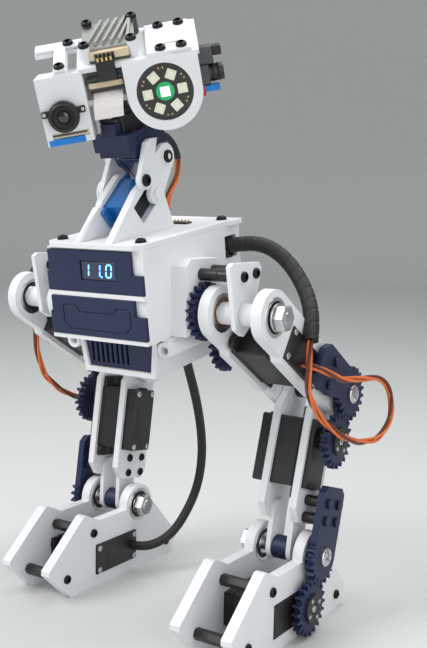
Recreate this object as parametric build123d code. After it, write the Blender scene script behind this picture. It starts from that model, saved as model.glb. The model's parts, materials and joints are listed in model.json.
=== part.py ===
"""Two-legged robot kit: printed white frame, navy gears and panels, hobby servos.

Millimetres, +Z up. The robot faces -Y and its left side is +X. The model is laid out
about the middle of the torso with the floor at z = 0, and moved at the end so that the
origin is the centre of the bottom of its bounding box.
Each leg is a chain: a navy gear is fixed on the upper link, centred on the joint, and
the servo on the lower link walks round it with a pinion of the same size.
"""
from build123d import *
import os
from math import acos, atan2, cos, degrees, hypot, pi, radians, sin, sqrt, tan

os.makedirs("parts", exist_ok=True)

# ---- torso ----
TORSO_WIDTH = 67.2
TORSO_DEPTH = 96.0
TORSO_PITCH = 8.8          # the front hangs lower
TORSO_FRONT_Y = -72.0
LID_Z = 221.7              # underside of the lid at the front
LID_THICK = 3.0
UPPER_TIER = 24.3          # height of the display tier
MIDDLE_TIER = 51.6         # lid to the bottom of the middle tier
LOWER_TIER = 75.0          # lid to the bottom of the speaker frame
TORSO_WALL = 3.0
PANEL = 2.0                # thickness of the navy panels
OUTLET_Y = (80.0, 92.0)    # cable outlets in both side walls
OUTLET_Z = (-19.0, -6.0)
TUBE_R = 4.4

# ---- legs: joint centres in the side view (y, z) ----
HIP = (-29.0, 188.0)
THIGH = 95.0
SHIN = 96.5
ANKLE_Z = 44.0
ANKLE_Y = {"left": 22.0, "right": 38.0}

# ---- stack of leg layers, distances from the middle plane ----
PLATE = 3.0                # neck links, tongues and ears
LEG_PLATE = 4.4            # thigh, shin and foot plates
INNER_PLATE = 55.0         # foot plates; the thigh's starts further in
THIGH_INNER = 53.6
OUTER_PLATE = 84.4
SHIN_INNER = 58.4          # the shin nests between them
SHIN_OUTER = 79.6
GEAR_X = 94.0              # knee and ankle gears, outside
HIP_GEAR_X = 44.0          # hip gears, inside
GEAR_THICK = 4.5
HIP_BLOCK_X = 43.8
EAR_X = 68.5

# ---- gears ----
MODULE = 1.5
TEETH = 20
BACKLASH = 0.16
PITCH_R = MODULE * TEETH / 2
CENTRES = 2 * PITCH_R

# ---- bearings and axles ----
BEARING_R = 11.0
BEARING_W = 7.0
AXLE_R = 4.0
RUN_FIT = 0.05
GAP = 0.3
SEAT_GAP = 0.02
SNUG = 0.12                # gap round a micro servo in its pocket
PIVOT_R = 1.5              # idle pivot pins of the neck

# ---- neck and head ----
NECK_J1 = (40.0, 24.5)     # torso side view: lower tilt joint
NECK_J2 = (51.3, 44.0)     # torso side view: upper tilt joint
HEAD_LEAN = 19.0
HEAD_PAN = 35.0            # the head looks to its left at rest
PAN_BACK = -12.6           # pan axis in the bracket frame
PAN_UP = 37.8
EYE_L = 27.8               # LED eye centre in the head frame
EYE_U = -0.5
CAMERA_L = -27.3
CHEEK_L = 45.6             # left cheek of the head
HEAD_WALL = 2.0
FACE_Y = -15.4             # front of the face plates


# ---------------------------------------------------------------- helpers
def side_plate(outline, x0, thick):
    """A side-view face (y, z) made into a plate from x0 outwards."""
    return extrude(Plane.YZ.offset(x0) * outline, amount=thick)


def polygon(*points):
    return make_face(Polyline(*points, close=True))


def disc(centre, r):
    return Pos(*centre) * Circle(r)


def tapered(c1, r1, c2, r2):
    """Two discs and the straight band that is tangent to both."""
    length = hypot(c2[0] - c1[0], c2[1] - c1[1])
    along = atan2(c2[1] - c1[1], c2[0] - c1[0])
    lean = acos((r1 - r2) / length)
    corners = []
    for centre, r, turn in ((c1, r1, lean), (c2, r2, lean), (c2, r2, -lean), (c1, r1, -lean)):
        corners.append((centre[0] + r * cos(along + turn), centre[1] + r * sin(along + turn)))
    return disc(c1, r1) + polygon(*corners) + disc(c2, r2)


def rod(centre, r, x0, x1):
    """A round bar along X between two distances from the middle plane."""
    return side_plate(disc(centre, r), x0, x1 - x0)


def hexagon(centre, flats, x0, x1):
    return side_plate(Pos(*centre) * RegularPolygon(flats / sqrt(3), 6), x0, x1 - x0)


def block(size_from, size_to):
    """A box between two opposite corners."""
    size = [b - a for a, b in zip(size_from, size_to)]
    middle = [(a + b) / 2 for a, b in zip(size_from, size_to)]
    return Pos(*middle) * Box(*size)


def one_side(side, shape):
    """Everything on a leg is drawn on the left and mirrored for the right."""
    return shape if side == "left" else mirror(shape, about=Plane.YZ)


def both(shape):
    return Compound([s for side in ("left", "right") for s in one_side(side, shape).solids()])


def group(*shapes):
    return Compound([s for shape in shapes for s in shape.solids()])


# ---------------------------------------------------------------- gears
def gear_face(centre, first_tooth):
    """Involute gear; first_tooth is the direction (degrees) of a tooth's middle."""
    pressure = radians(20)
    base = PITCH_R * cos(pressure)
    tip = PITCH_R + MODULE
    root = PITCH_R - 1.25 * MODULE
    half = pi / (2 * TEETH) - BACKLASH / (2 * PITCH_R) + tan(pressure) - pressure
    flank = [(root, half)]
    for step in range(4):
        r = base + 0.02 + (tip - base - 0.02) * step / 3
        roll = acos(base / r)
        flank.append((r, half - (tan(roll) - roll)))
    points = []
    for tooth in range(TEETH):
        middle = radians(first_tooth) + 2 * pi * tooth / TEETH
        for r, turn in flank:
            points.append((r * cos(middle - turn), r * sin(middle - turn)))
        for r, turn in reversed(flank):
            points.append((r * cos(middle + turn), r * sin(middle + turn)))
    return Pos(*centre) * polygon(*points)


def direction(a, b):
    return degrees(atan2(b[1] - a[1], b[0] - a[0]))


def fixed_gear(centre, pinion):
    """The gear on the joint axis: a tooth points at the pinion."""
    return gear_face(centre, direction(centre, pinion))


def pinion_gear(pinion, centre):
    """The gear on the servo: a gap faces the fixed gear."""
    return gear_face(pinion, direction(pinion, centre) + 180 / TEETH)


# ---------------------------------------------------------------- servos
def big_servo(spline_top):
    """Standard servo: output on the Z axis, case from z = 0, long side along +X."""
    case = block((-10.2, -9.85, 0), (30.5, 9.85, 37))
    case = chamfer(case.edges().filter_by(Axis.Z), 0.6)
    ears = block((-17.1, -9.85, 27), (37.4, 9.85, 29.5))
    for x in (-14.3, 34.6):
        for y in (-5, 5):
            ears -= Pos(x, y, 28) * Cylinder(2.2, 4)
    boss = Pos(0, 0, 37.5) * Cylinder(6.5, 1.4)
    spline = Pos(0, 0, (37 + spline_top) / 2) * Cylinder(2.9, spline_top - 37)
    return case + ears + boss + spline


def micro_servo():
    """Micro servo in the same layout, with a hole for an idle pivot in its bottom."""
    case = block((-5.9, -6.1, 0), (16.9, 6.1, 22.7)) - Pos(0, 0, 1) * Cylinder(PIVOT_R + RUN_FIT, 4)
    ears = block((-10.65, -6.1, 15.9), (21.65, 6.1, 18.4))
    for x in (-8.3, 19.3):
        ears -= Pos(x, 0, 17) * Cylinder(1.0, 4)
    boss = Pos(0, 0, 24.6) * Cylinder(5.9, 3.8)
    spline = Pos(0, 0, 26) * Cylinder(2.3, 7)
    return case + ears + boss + spline


def servo_place(output, bottom_x, outwards, along):
    """Plane for a servo whose output points along +X or -X in the side view."""
    turn = radians(along)
    return Plane(origin=(bottom_x, output[0], output[1]), x_dir=(0, cos(turn), sin(turn)),
                 z_dir=(1 if outwards else -1, 0, 0))


def servo_window(output, along, clear=0.15):
    """Side-view cut-out for the case of a big servo."""
    return Pos(*output) * Rot(0, 0, along) * Pos(10.15, 0) * Rectangle(40.7 + 2 * clear, 19.7 + 2 * clear)


# ---------------------------------------------------------------- bearings, axles
def bearing(centre, x0):
    ring = disc(centre, BEARING_R - SEAT_GAP) - disc(centre, AXLE_R + RUN_FIT)
    body = side_plate(ring, x0, BEARING_W)
    groove = disc(centre, 9.2) - disc(centre, 5.8)
    body -= side_plate(groove, x0 - 1, 1.6)
    return body - side_plate(groove, x0 + BEARING_W - 0.6, 1.6)


def axle(centre, head_x):
    """Bolt with a hexagon nut at its inner end and a pan head outside."""
    shape = rod(centre, AXLE_R, 44, head_x)
    shape += hexagon(centre, 13, 44.4, 50.7)
    head = rod(centre, 5.5, head_x, head_x + 2.6)
    return shape + fillet(head.edges().group_by(Axis.X)[-1], 1.6)


# ---------------------------------------------------------------- leg layout
class Leg:
    """Joint centres and directions of one leg in the side view."""

    def __init__(self, side):
        self.side = side
        self.ankle = (ANKLE_Y[side], ANKLE_Z)
        reach = hypot(self.ankle[0] - HIP[0], self.ankle[1] - HIP[1])
        bend = acos((THIGH**2 + reach**2 - SHIN**2) / (2 * THIGH * reach))
        down = atan2(self.ankle[1] - HIP[1], self.ankle[0] - HIP[0])
        self.thigh = down + bend
        self.knee = (HIP[0] + THIGH * cos(self.thigh), HIP[1] + THIGH * sin(self.thigh))
        self.shin = atan2(self.ankle[1] - self.knee[1], self.ankle[0] - self.knee[0])
        self.hip_pinion = self.on_thigh(29.7, 4.2)
        self.knee_pinion = self.on_shin(29.28, 6.5)
        self.ankle_pinion = (self.ankle[0] - CENTRES * sin(radians(28)), self.ankle[1] - CENTRES * cos(radians(28)))

    def on_thigh(self, along, below):
        """Distance from the hip towards the knee, and down off that line."""
        a = self.thigh
        return HIP[0] + along * cos(a) + below * sin(a), HIP[1] + along * sin(a) - below * cos(a)

    def on_shin(self, along, ahead):
        """Distance from the knee towards the ankle, and forward off that line."""
        a = self.shin
        return self.knee[0] + along * cos(a) + ahead * sin(a), self.knee[1] + along * sin(a) - ahead * cos(a)


# ---------------------------------------------------------------- torso
TORSO = Plane(origin=(0, TORSO_FRONT_Y, LID_Z), x_dir=(1, 0, 0),
              z_dir=(0, -sin(radians(TORSO_PITCH)), cos(radians(TORSO_PITCH))))
HALF = TORSO_WIDTH / 2


def torso_shell():
    outer = block((-HALF, PANEL, -MIDDLE_TIER), (HALF, TORSO_DEPTH, 0))
    inner = block((-HALF + TORSO_WALL, PANEL + TORSO_WALL, -MIDDLE_TIER + TORSO_WALL),
                  (HALF - TORSO_WALL, TORSO_DEPTH - TORSO_WALL, 1))
    shell = outer - inner
    shell += block((-HALF, 0, -UPPER_TIER - 2.6), (HALF, PANEL, -UPPER_TIER - 0.1))
    shell += block((-HALF, 0, -MIDDLE_TIER), (HALF, PANEL, -MIDDLE_TIER + 2.4))
    shell -= block((-HALF - 1, OUTLET_Y[0], OUTLET_Z[0]), (HALF + 1, OUTLET_Y[1], OUTLET_Z[1]))
    for x in (-HALF + 6, HALF - 6):
        for y in (9, TORSO_DEPTH - 9):
            post = Pos(x, y, -6) * (Cylinder(4, 12) - Cylinder(1.55, 13))
            shell += post
    return TORSO * shell


def torso_lid():
    lid = block((-HALF, -1, 0), (HALF, TORSO_DEPTH, LID_THICK))
    lid = chamfer(lid.edges().filter_by(Axis.Z).group_by(Axis.Y)[0], 5)
    for x in (-HALF, HALF):
        flare = polygon((0, 82), (2.6, 86), (2.6, TORSO_DEPTH), (0, TORSO_DEPTH))
        flare = extrude(flare, amount=LID_THICK)
        if x < 0:
            flare = mirror(flare, about=Plane.YZ)
        lid += Pos(x, 0, 0) * flare
    for x in (-HALF + 6, HALF - 6):
        for y in (9, TORSO_DEPTH - 9):
            lid -= Pos(x, y, 1.5) * Cylinder(1.6, 4)
    return TORSO * lid


def lid_screws():
    screws = []
    for x in (-HALF + 6, HALF - 6):
        for y in (9, TORSO_DEPTH - 9):
            head = Pos(x, y, LID_THICK + 1.1) * Cylinder(2.9, 2.2)
            shank = Pos(x, y, LID_THICK - 4) * Cylinder(1.5, 8)
            screws.append(TORSO * (head + shank))
    return group(*screws)


def upper_front_panel():
    panel = block((-HALF + 1.5, 0, -UPPER_TIER), (HALF - 7, PANEL, -1))
    panel += block((-HALF, 0, -UPPER_TIER), (HALF, PANEL, -13.5))
    panel -= block((-9, -1, -17.5), (16, PANEL + 1, -6.5))
    return TORSO * panel


def middle_front_panel():
    top = -UPPER_TIER - 2.8
    low = -MIDDLE_TIER + 2.6
    panel = block((-HALF + 1.5, -0.6, low), (HALF - 7, PANEL, top))
    panel += block((-HALF, -0.6, low), (HALF, PANEL, top - 9))
    outline = polygon((-24, top - 5), (-14, top - 5), (-12, top - 8), (12, top - 8), (14, top - 5), (24, top - 5),
                      (24, low + 7), (19, low + 3), (-19, low + 3), (-24, low + 7))
    groove = offset(outline, amount=-0.7)
    engraved = extrude(Plane.XZ * (outline - groove), amount=1)
    return TORSO * (panel - engraved)


def display_module():
    board = block((-8.8, 0.9, -17.3), (15.8, 1.95, -6.7))
    return TORSO * (board + block((-7.5, 0.3, -16.4), (14.5, 0.9, -7.6)))


def lower_frame():
    top = -MIDDLE_TIER - 0.05
    side = TORSO_DEPTH - 19
    outline = polygon((-28.2, top), (28.2, top), (25.2, -LOWER_TIER), (-25.2, -LOWER_TIER))
    frame = extrude(Plane.XZ.offset(-14.5) * outline, amount=-(side - 14.5))
    cavity = polygon((-25, top - 3), (25, top - 3), (22.4, -LOWER_TIER + 3), (-22.4, -LOWER_TIER + 3))
    frame -= extrude(Plane.XZ.offset(-11.5) * cavity, amount=-(side - 14.5))
    tubes = []
    for x in (-1, 1):
        tube = Cylinder(TUBE_R, 40) - Pos(0, 0, -18) * Cylinder(2.6, 20)
        tubes.append(Pos(x * 32.8, 34.5, top - TUBE_R - 1.6) * Rot(-90, 0, 0) * tube)
        saddle = block((0, 0, 0), (3.4, 36, 5))
        tubes.append(Pos(32.8 - 1.7 if x > 0 else -32.8 - 1.7, 16, top - 5) * saddle)
    body = frame
    for piece in tubes:
        body += piece
    return TORSO * body


def slat_grille():
    top = -MIDDLE_TIER - 3.3
    low = -LOWER_TIER + 3.3
    outline = polygon((-24.6, top), (24.6, top), (22.3, low), (-22.3, low))
    grille = extrude(Plane.XZ.offset(-16) * outline, amount=-3)
    for slat in range(8):
        x = -20.5 + 3.6 * slat
        grille -= block((x, 15, low + 2.5), (x + 1.7, 17.8, top - 2.5))
    return TORSO * grille


def battery_pack():
    return TORSO * fillet(block((-24, 30, -46), (24, 78, -26)).edges(), 2)


def hip_blocks():
    """White blocks on the torso's flanks that carry the hip axles."""
    outline = polygon((HIP[0] - 15, 174.6), (HIP[0] - 15, 213), (HIP[0] - 11, 217), (HIP[0] + 17, 217),
                      (HIP[0] + 17, 179.8))
    body = side_plate(outline, HALF + 0.02, HIP_BLOCK_X - HALF)
    return both(body - rod(HIP, AXLE_R, 35, 60))


def hip_ear_plates():
    """Tapered plates outboard of the inner thigh plate, held on two spacers."""
    outline = polygon((HIP[0] - 15, HIP[1] + 26), (HIP[0] - 12, HIP[1] + 28), (HIP[0] + 14, HIP[1] + 28),
                      (HIP[0] + 17, HIP[1] + 25), (HIP[0] + 9, HIP[1] - 5), (HIP[0], HIP[1] - 12),
                      (HIP[0] - 8, HIP[1] - 8))
    body = side_plate(outline, EAR_X, PLATE) - rod(HIP, AXLE_R, EAR_X - 1, EAR_X + 5)
    return both(body)


EAR_SCREWS = ((HIP[0] - 1.5, HIP[1] + 20.5), (HIP[0] + 10.5, HIP[1] + 22.0))


def hip_spacers():
    """Black spacers from the hip block to the ear, with a screw head outside."""
    pieces = []
    for centre in EAR_SCREWS:
        pieces.append(rod(centre, 3.4, HIP_BLOCK_X + 0.04, EAR_X))
        pieces.append(rod(centre, 2.9, EAR_X + PLATE, EAR_X + PLATE + 2.2))
    return both(group(*pieces))


def hip_gears(leg):
    face = fixed_gear(HIP, leg.hip_pinion) - disc(HIP, AXLE_R)
    return side_plate(face, HIP_GEAR_X, GEAR_THICK)


def hip_axles():
    shaft = rod(HIP, AXLE_R, 36, 99)
    collar = side_plate(disc(HIP, 7.5) - disc(HIP, AXLE_R - 0.5), HIP_GEAR_X + GEAR_THICK + 0.02, 2.1)
    washer = side_plate(disc(HIP, 7.8) - disc(HIP, AXLE_R - 0.5), 91.8, 1.2)
    return both(shaft + collar + washer + hexagon(HIP, 13, 93, 99.4))


# ---------------------------------------------------------------- thigh
def thigh_plates(leg):
    arm = tapered(HIP, 15, leg.knee, 14)
    swell = polygon(leg.on_thigh(13, -9), leg.on_thigh(66, -10), leg.on_thigh(74, 4),
                    leg.on_thigh(66, 17), leg.on_thigh(20, 17), leg.on_thigh(10, 10))
    outline = arm + swell - servo_window(leg.hip_pinion, degrees(leg.thigh))
    face = outline - disc(HIP, BEARING_R) - disc(leg.knee, BEARING_R)
    inner = side_plate(face, THIGH_INNER, LEG_PLATE)
    outer = side_plate(face, OUTER_PLATE, LEG_PLATE)
    for centre in (HIP, leg.knee):
        r = 15 if centre == HIP else 14
        inner += side_plate(disc(centre, r) - disc(centre, BEARING_R), 51.4, THIGH_INNER - 51.4)
        outer += side_plate(disc(centre, r) - disc(centre, BEARING_R), OUTER_PLATE + LEG_PLATE, 2.2)
    return group(inner, outer)


def thigh_bearings(leg):
    return group(bearing(HIP, 51), bearing(HIP, 84.4), bearing(leg.knee, 51), bearing(leg.knee, 84.4))


def knee_gear(leg):
    """Gear on the knee axis and the arm that bolts it to the outer thigh plate."""
    gear = fixed_gear(leg.knee, leg.knee_pinion)
    arm = polygon(leg.on_thigh(92, -12.6), leg.on_thigh(54, -12.6), leg.on_thigh(49, -7.6),
                  leg.on_thigh(49, 8.6), leg.on_thigh(53, 12.6), leg.on_thigh(70, 12.6), leg.on_thigh(92, 6))
    plate = side_plate(gear + arm - disc(leg.knee, AXLE_R + GAP), GEAR_X, GEAR_THICK)
    for centre in (leg.on_thigh(64.5, -6.2), leg.on_thigh(64.5, 8.6)):
        plate += rod(centre, 3.2, OUTER_PLATE + LEG_PLATE + 0.02, GEAR_X)
        plate += rod(centre, 2.8, GEAR_X + GEAR_THICK, GEAR_X + GEAR_THICK + 1.9)
    return plate


# ---------------------------------------------------------------- shin
def shin_plates(leg):
    outline = tapered(leg.knee, 12, leg.on_shin(26, 2), 12)
    outline += polygon(leg.on_shin(4, 12), leg.on_shin(14, 18.6), leg.on_shin(72, 18.6), leg.on_shin(80, 12),
                       leg.on_shin(80, -8), leg.on_shin(75, -12), leg.on_shin(4, -12))
    outline -= servo_window(leg.knee_pinion, degrees(leg.shin))
    outline -= disc(leg.knee, AXLE_R)
    inner = side_plate(outline, SHIN_INNER, LEG_PLATE)
    outer = side_plate(outline, SHIN_OUTER, LEG_PLATE)
    tongue = tapered(leg.on_shin(76, 2), 8, leg.ankle, 7.8) - disc(leg.ankle, AXLE_R)
    inner_tongue = side_plate(tongue, SHIN_INNER + LEG_PLATE + 0.02, PLATE)
    outer_tongue = side_plate(tongue, SHIN_OUTER - PLATE - 0.02, PLATE)
    return group(inner, outer, inner_tongue, outer_tongue)


def shin_axles(leg):
    """Knee bolt with a pan head, ankle bolt with a nut inside and a pan head."""
    knee = axle(leg.knee, GEAR_X + GEAR_THICK + GAP)
    ankle = axle(leg.ankle, GEAR_X + GEAR_THICK + 0.02)
    knee += side_plate(disc(leg.knee, 6) - disc(leg.knee, 3.5), SHIN_INNER + LEG_PLATE + 0.02, 16.7)
    return group(knee, ankle)


def ankle_link(leg):
    """Navy plate bolted to the shin that carries the ankle gear."""
    gear = fixed_gear(leg.ankle, leg.ankle_pinion)
    arm = polygon(leg.on_shin(SHIN, 13), leg.on_shin(60, 13), leg.on_shin(56, 9), leg.on_shin(56, -9),
                  leg.on_shin(60, -13), leg.on_shin(SHIN, -13))
    wedge = polygon(leg.ankle, leg.on_shin(SHIN - 20, 40), leg.on_shin(SHIN + 40, 60), leg.on_shin(SHIN + 60, -50),
                    leg.on_shin(SHIN + 14, -24))
    face = (gear & wedge) + arm + disc(leg.ankle, 13.2) - disc(leg.ankle, AXLE_R)
    plate = side_plate(face, GEAR_X, GEAR_THICK)
    for along in (66, 76):
        for across in (-6.5, 6.5):
            centre = leg.on_shin(along, across)
            plate += rod(centre, 3.0, SHIN_OUTER + LEG_PLATE + 0.02, GEAR_X)
            plate += rod(centre, 2.8, GEAR_X + GEAR_THICK, GEAR_X + GEAR_THICK + 1.9)
    return plate


# ---------------------------------------------------------------- foot
def foot_plates(leg):
    y, z = leg.ankle
    outline = polygon((y - 68, 0), (y - 88, 19), (y - 88, 22), (y - 56, z + 5), (y - 53, z + 5), (y - 41, z - 1),
                      (y, z - 1), (y + 12, z + 2), (y + 43, 13), (y + 43, 10), (y + 33, 0))
    outline += disc(leg.ankle, 13.4)
    outline -= servo_window(leg.ankle_pinion, 180)
    inner = side_plate(outline - disc(leg.ankle, BEARING_R), INNER_PLATE, LEG_PLATE)
    outer = side_plate(outline - disc(leg.ankle, BEARING_R), OUTER_PLATE, LEG_PLATE)
    rim = disc(leg.ankle, 13.4) - disc(leg.ankle, BEARING_R)
    inner += side_plate(rim, 51.4, INNER_PLATE - 51.4)
    outer += side_plate(rim, OUTER_PLATE + LEG_PLATE, 2.2)
    for centre in foot_rod_centres(leg):
        inner -= rod(centre, 1.6, INNER_PLATE - 1, INNER_PLATE + LEG_PLATE + 1)
        outer -= rod(centre, 1.6, OUTER_PLATE - 1, OUTER_PLATE + LEG_PLATE + 1)
    return group(inner, outer)


def foot_rod_centres(leg):
    y = leg.ankle[0]
    return ((y - 72, 13), (y - 47, 36), (y + 31, 9.5))


def foot_rods(leg):
    """Black spacer rods between the foot plates, with button-head screws."""
    rods = []
    for centre in foot_rod_centres(leg):
        bar = rod(centre, 3.2, INNER_PLATE + LEG_PLATE, OUTER_PLATE)
        bar += rod(centre, 1.5, INNER_PLATE - 0.5, OUTER_PLATE + LEG_PLATE + 0.5)
        bar += rod(centre, 2.8, INNER_PLATE - 2, INNER_PLATE)
        bar += rod(centre, 2.8, OUTER_PLATE + LEG_PLATE, OUTER_PLATE + LEG_PLATE + 2)
        rods.append(bar)
    return group(*rods)


def foot_bearings(leg):
    return group(bearing(leg.ankle, 51), bearing(leg.ankle, 84.4))


# ---------------------------------------------------------------- pinions
def pinion(pinion_at, centre, x0, horn_x0):
    """Servo gear with its round black horn on the free face, bored for the spline."""
    bore = disc(pinion_at, 2.9 + RUN_FIT)
    gear = side_plate(pinion_gear(pinion_at, centre) - bore, x0, GEAR_THICK)
    horn = side_plate(disc(pinion_at, 8.5) - bore, horn_x0, 1.8)
    return gear + horn


# ---------------------------------------------------------------- neck
def torso_point(y, z):
    """Side-view point of the torso frame in the side view of the whole robot."""
    p = TORSO.from_local_coords((0, y, z))
    return p.Y, p.Z


J1 = torso_point(*NECK_J1)
J2 = torso_point(*NECK_J2)
NECK_SERVO_TURN = 180 + TORSO_PITCH + 37.4     # along the struts, which lean back
TILT_SERVO_TURN = HEAD_LEAN - 50
BRACKET = Plane(origin=(0, J2[0], J2[1]), x_dir=(1, 0, 0),
                z_dir=(0, -sin(radians(HEAD_LEAN)), cos(radians(HEAD_LEAN))))


def bracket_point(y, z):
    p = BRACKET.from_local_coords((0, y, z))
    return p.Y, p.Z


def neck_base_plates():
    """Struts on the lid that lean back and hold the servo in a window each."""
    lying = Pos(*J1) * Rot(0, 0, NECK_SERVO_TURN) * Pos(5.5, 0)
    window = lying * Rectangle(23.1, 12.5)
    left = polygon(torso_point(1, 3.02), torso_point(58.5, 3.02), torso_point(52.5, 20), torso_point(50.5, 26),
                   torso_point(42, 36.5), torso_point(26.5, 27.6))
    right = polygon(torso_point(1, 3.02), torso_point(57, 3.02), torso_point(50, 20), torso_point(19, 19.5))
    right += lying * RectangleRounded(28.6, 18.2, 5)
    return group(side_plate(left - window, 9.3, 4.7), side_plate(right - window, -12, 4.3))


def neck_servo():
    """Micro servo set along the struts, output to the right."""
    return servo_place(J1, 10.7, False, NECK_SERVO_TURN) * micro_servo()


def neck_links():
    """Two side links on idle pins at the left; the right one is driven by the servo horns."""
    lobe = torso_point(31, 33)
    front_bar = polygon(torso_point(26.5, 31), torso_point(27, 36), bracket_point(-15, 12),
                        bracket_point(-11, 13), bracket_point(-5, 12), torso_point(36, 33))
    left = tapered(J2, 7.4, J1, 5.6) + tapered(J2, 7.4, lobe, 5.2) + front_bar
    right = tapered(J1, 9.0, J2, 9.01)
    left_plate = side_plate(left - disc(lobe, 1.6), 14.2, PLATE)
    for centre, tip in ((J1, 8.2), (J2, 6.7)):
        left_plate += rod(centre, PIVOT_R, tip, 14.3) + rod(centre, 3.0, 17.2, 19.2)
    right_plate = side_plate(right - disc(J1, 6.25) - disc(J2, 6.25), -17.2, PLATE)
    for centre, horn_x in ((J1, -19.2), (J2, -20.4)):
        right_plate += side_plate(disc(centre, 8.6) - disc(centre, 2.35), horn_x, 1.4)
        for turn in (0, 120, 240):
            peg = (centre[0] + 7.4 * cos(radians(turn)), centre[1] + 7.4 * sin(radians(turn)))
            right_plate += rod(peg, 0.9, horn_x, -16.4)
    return group(left_plate, right_plate)


def tilt_servo():
    """Micro servo under the pan bracket, its output on the upper tilt joint."""
    return servo_place(J2, 9.2, False, TILT_SERVO_TURN) * micro_servo()


PAN = BRACKET.from_local_coords((0, PAN_BACK, PAN_UP))


PAN_SERVO = Plane(origin=BRACKET.from_local_coords((0, PAN_BACK, PAN_UP - 29)), x_dir=BRACKET.y_dir,
                  z_dir=BRACKET.z_dir)


def pan_servo():
    """Micro servo standing in the bracket; its horn turns the head."""
    return PAN_SERVO * micro_servo()


def pan_bracket():
    """Navy housing clamped round both head servos, with a post under each ear of the upper one."""
    body = block((-12.4, -24.6, 5), (12.4, 9, 18.4)) - block((-13, -25, 3), (13, -21, 9))
    body += block((-5, -24.4, 18), (5, -18.6, 24.65)) + block((-5, 4.4, 18), (5, 9, 24.65))
    body = BRACKET * body
    case = block((-5.9 - SNUG, -6.1 - SNUG, -5), (16.9 + SNUG, 6.1 + SNUG, 30))
    ears = block((-10.65 - SNUG, -6.1 - SNUG, 15.9 - SNUG), (21.65 + SNUG, 6.1 + SNUG, 18.4 + SNUG))
    body -= servo_place(J2, 9.2, False, TILT_SERVO_TURN) * (case + ears)
    return body - PAN_SERVO * case


# ---------------------------------------------------------------- head
HEAD = Plane(origin=PAN, z_dir=BRACKET.z_dir,
             x_dir=BRACKET.x_dir * cos(radians(HEAD_PAN)) + BRACKET.y_dir * sin(radians(HEAD_PAN)))
TOP_SLOPE = 21.0
TOP_U = EYE_U + 18.3


def head_slope():
    """Plane of the head's roof, which rises towards the back."""
    turn = radians(TOP_SLOPE)
    return Plane(origin=(0, FACE_Y, TOP_U), x_dir=(1, 0, 0), z_dir=(0, -sin(turn), cos(turn)))


def head_chassis():
    """White printed head: tray on the pan horn, cheeks, sloping roof, eye plate, camera box."""
    behind = FACE_Y + 2.5
    start = behind + 3
    inner = CAMERA_L + 11.4
    outer = CAMERA_L - 12.0
    low = EYE_U - 18.4
    cheek = CHEEK_L + HEAD_WALL
    box = block((outer, FACE_Y, low), (inner + HEAD_WALL, 6, low + 36))
    box -= block((outer + HEAD_WALL, FACE_Y + 2.4, low + 2.2), (inner, 7, low + 34))
    box -= Pos(CAMERA_L, FACE_Y, EYE_U - 3.2) * Rot(90, 0, 0) * Cylinder(7.9, 8)
    box -= block((outer + 3.4, FACE_Y - 1, low + 3.4), (inner, FACE_Y + 3, low + 6.4))
    tray = block((inner, start, -2), (cheek, 20, 1)) - Cylinder(2.36, 6)
    eye = Pos(EYE_L, EYE_U) * Circle(20.2) + Pos(EYE_L, EYE_U + 9.1) * Rectangle(40.4, 18.2)
    eye -= Pos(EYE_L, EYE_U) * Circle(15.2)
    body = box + tray + extrude(Plane.XZ.offset(-behind) * eye, amount=2.5)
    body += block((CHEEK_L, start, -2), (cheek, 20, TOP_U))
    body += block((inner, start, -2), (inner + HEAD_WALL, 20, TOP_U))
    body += block((inner, 18, -2), (cheek, 20, TOP_U + 6))
    for l in (EYE_L - 17, EYE_L + 17):
        body += block((l - 2, behind - 0.1, EYE_U + 15.5), (l + 2, behind + 4, EYE_U + 17.5))
    body += block((EYE_L - 19, start, TOP_U - 5.5), (cheek, start + 2, TOP_U - 1))
    roof = block((inner, 1, -2.5), (cheek + 1.5, 36, 0)) + block((CAMERA_L - 1.5, 1, -2.5), (CAMERA_L + 6, 30, 0))
    roof += block((outer, 25, -2.5), (inner, 33, 0))
    body += head_slope() * roof
    side = polygon((start, TOP_U - 4), (20, TOP_U - 4), (20, TOP_U + 9), (start, TOP_U - 1.2))
    for l in (CHEEK_L, inner):
        body += extrude(Plane.YZ.offset(l) * side, amount=HEAD_WALL)
    return HEAD * body


def camera_module():
    """Fisheye camera: board, square holder with two lugs, and the lens barrel."""
    level = EYE_U - 3.2
    board = block((-36.4, FACE_Y + 6, level - 10), (-18.2, FACE_Y + 7.4, level + 11))
    holder = block((-34.3, FACE_Y + 2.6, level - 6), (-20.3, FACE_Y + 6, level + 6))
    barrel = Pos(CAMERA_L, FACE_Y - 1.6, level) * Rot(90, 0, 0) * Cylinder(7.4, 8.8)
    return HEAD * (board + holder + barrel)


def led_eye():
    """Round board with six square LEDs round one in the middle."""
    board = Pos(EYE_L, FACE_Y + 3.4, EYE_U) * Rot(90, 0, 0) * Cylinder(16.5, 1.6)
    lights = [Pos(EYE_L, FACE_Y + 1.9, EYE_U) * Box(6, 2.4, 6)]
    for k in range(6):
        turn = radians(60 * k)
        lights.append(Pos(EYE_L + 9.6 * sin(turn), FACE_Y + 1.9, EYE_U + 9.6 * cos(turn)) * Box(5.2, 2.4, 5.2))
    for light in lights:
        board += light
    return HEAD * board


def head_electronics():
    """Finned cooler on the roof, and the receiver block and knob on the left cheek."""
    cooler = block((-13, 5, 0.02), (17, 33, 6))
    for k in range(6):
        cooler -= block((-10 + 4.4 * k, 4, 2.5), (-8 + 4.4 * k, 34, 7))
    wall = CHEEK_L + HEAD_WALL + 0.05
    receiver = block((wall, -8, -6), (wall + 9, 8, 8)) + block((wall, -6, 9), (wall + 13, 6, 18))
    receiver += Pos(wall + 11, 0, 1) * Rot(0, 90, 0) * Cylinder(4.2, 5)
    return HEAD * group(head_slope() * cooler, receiver)


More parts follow.
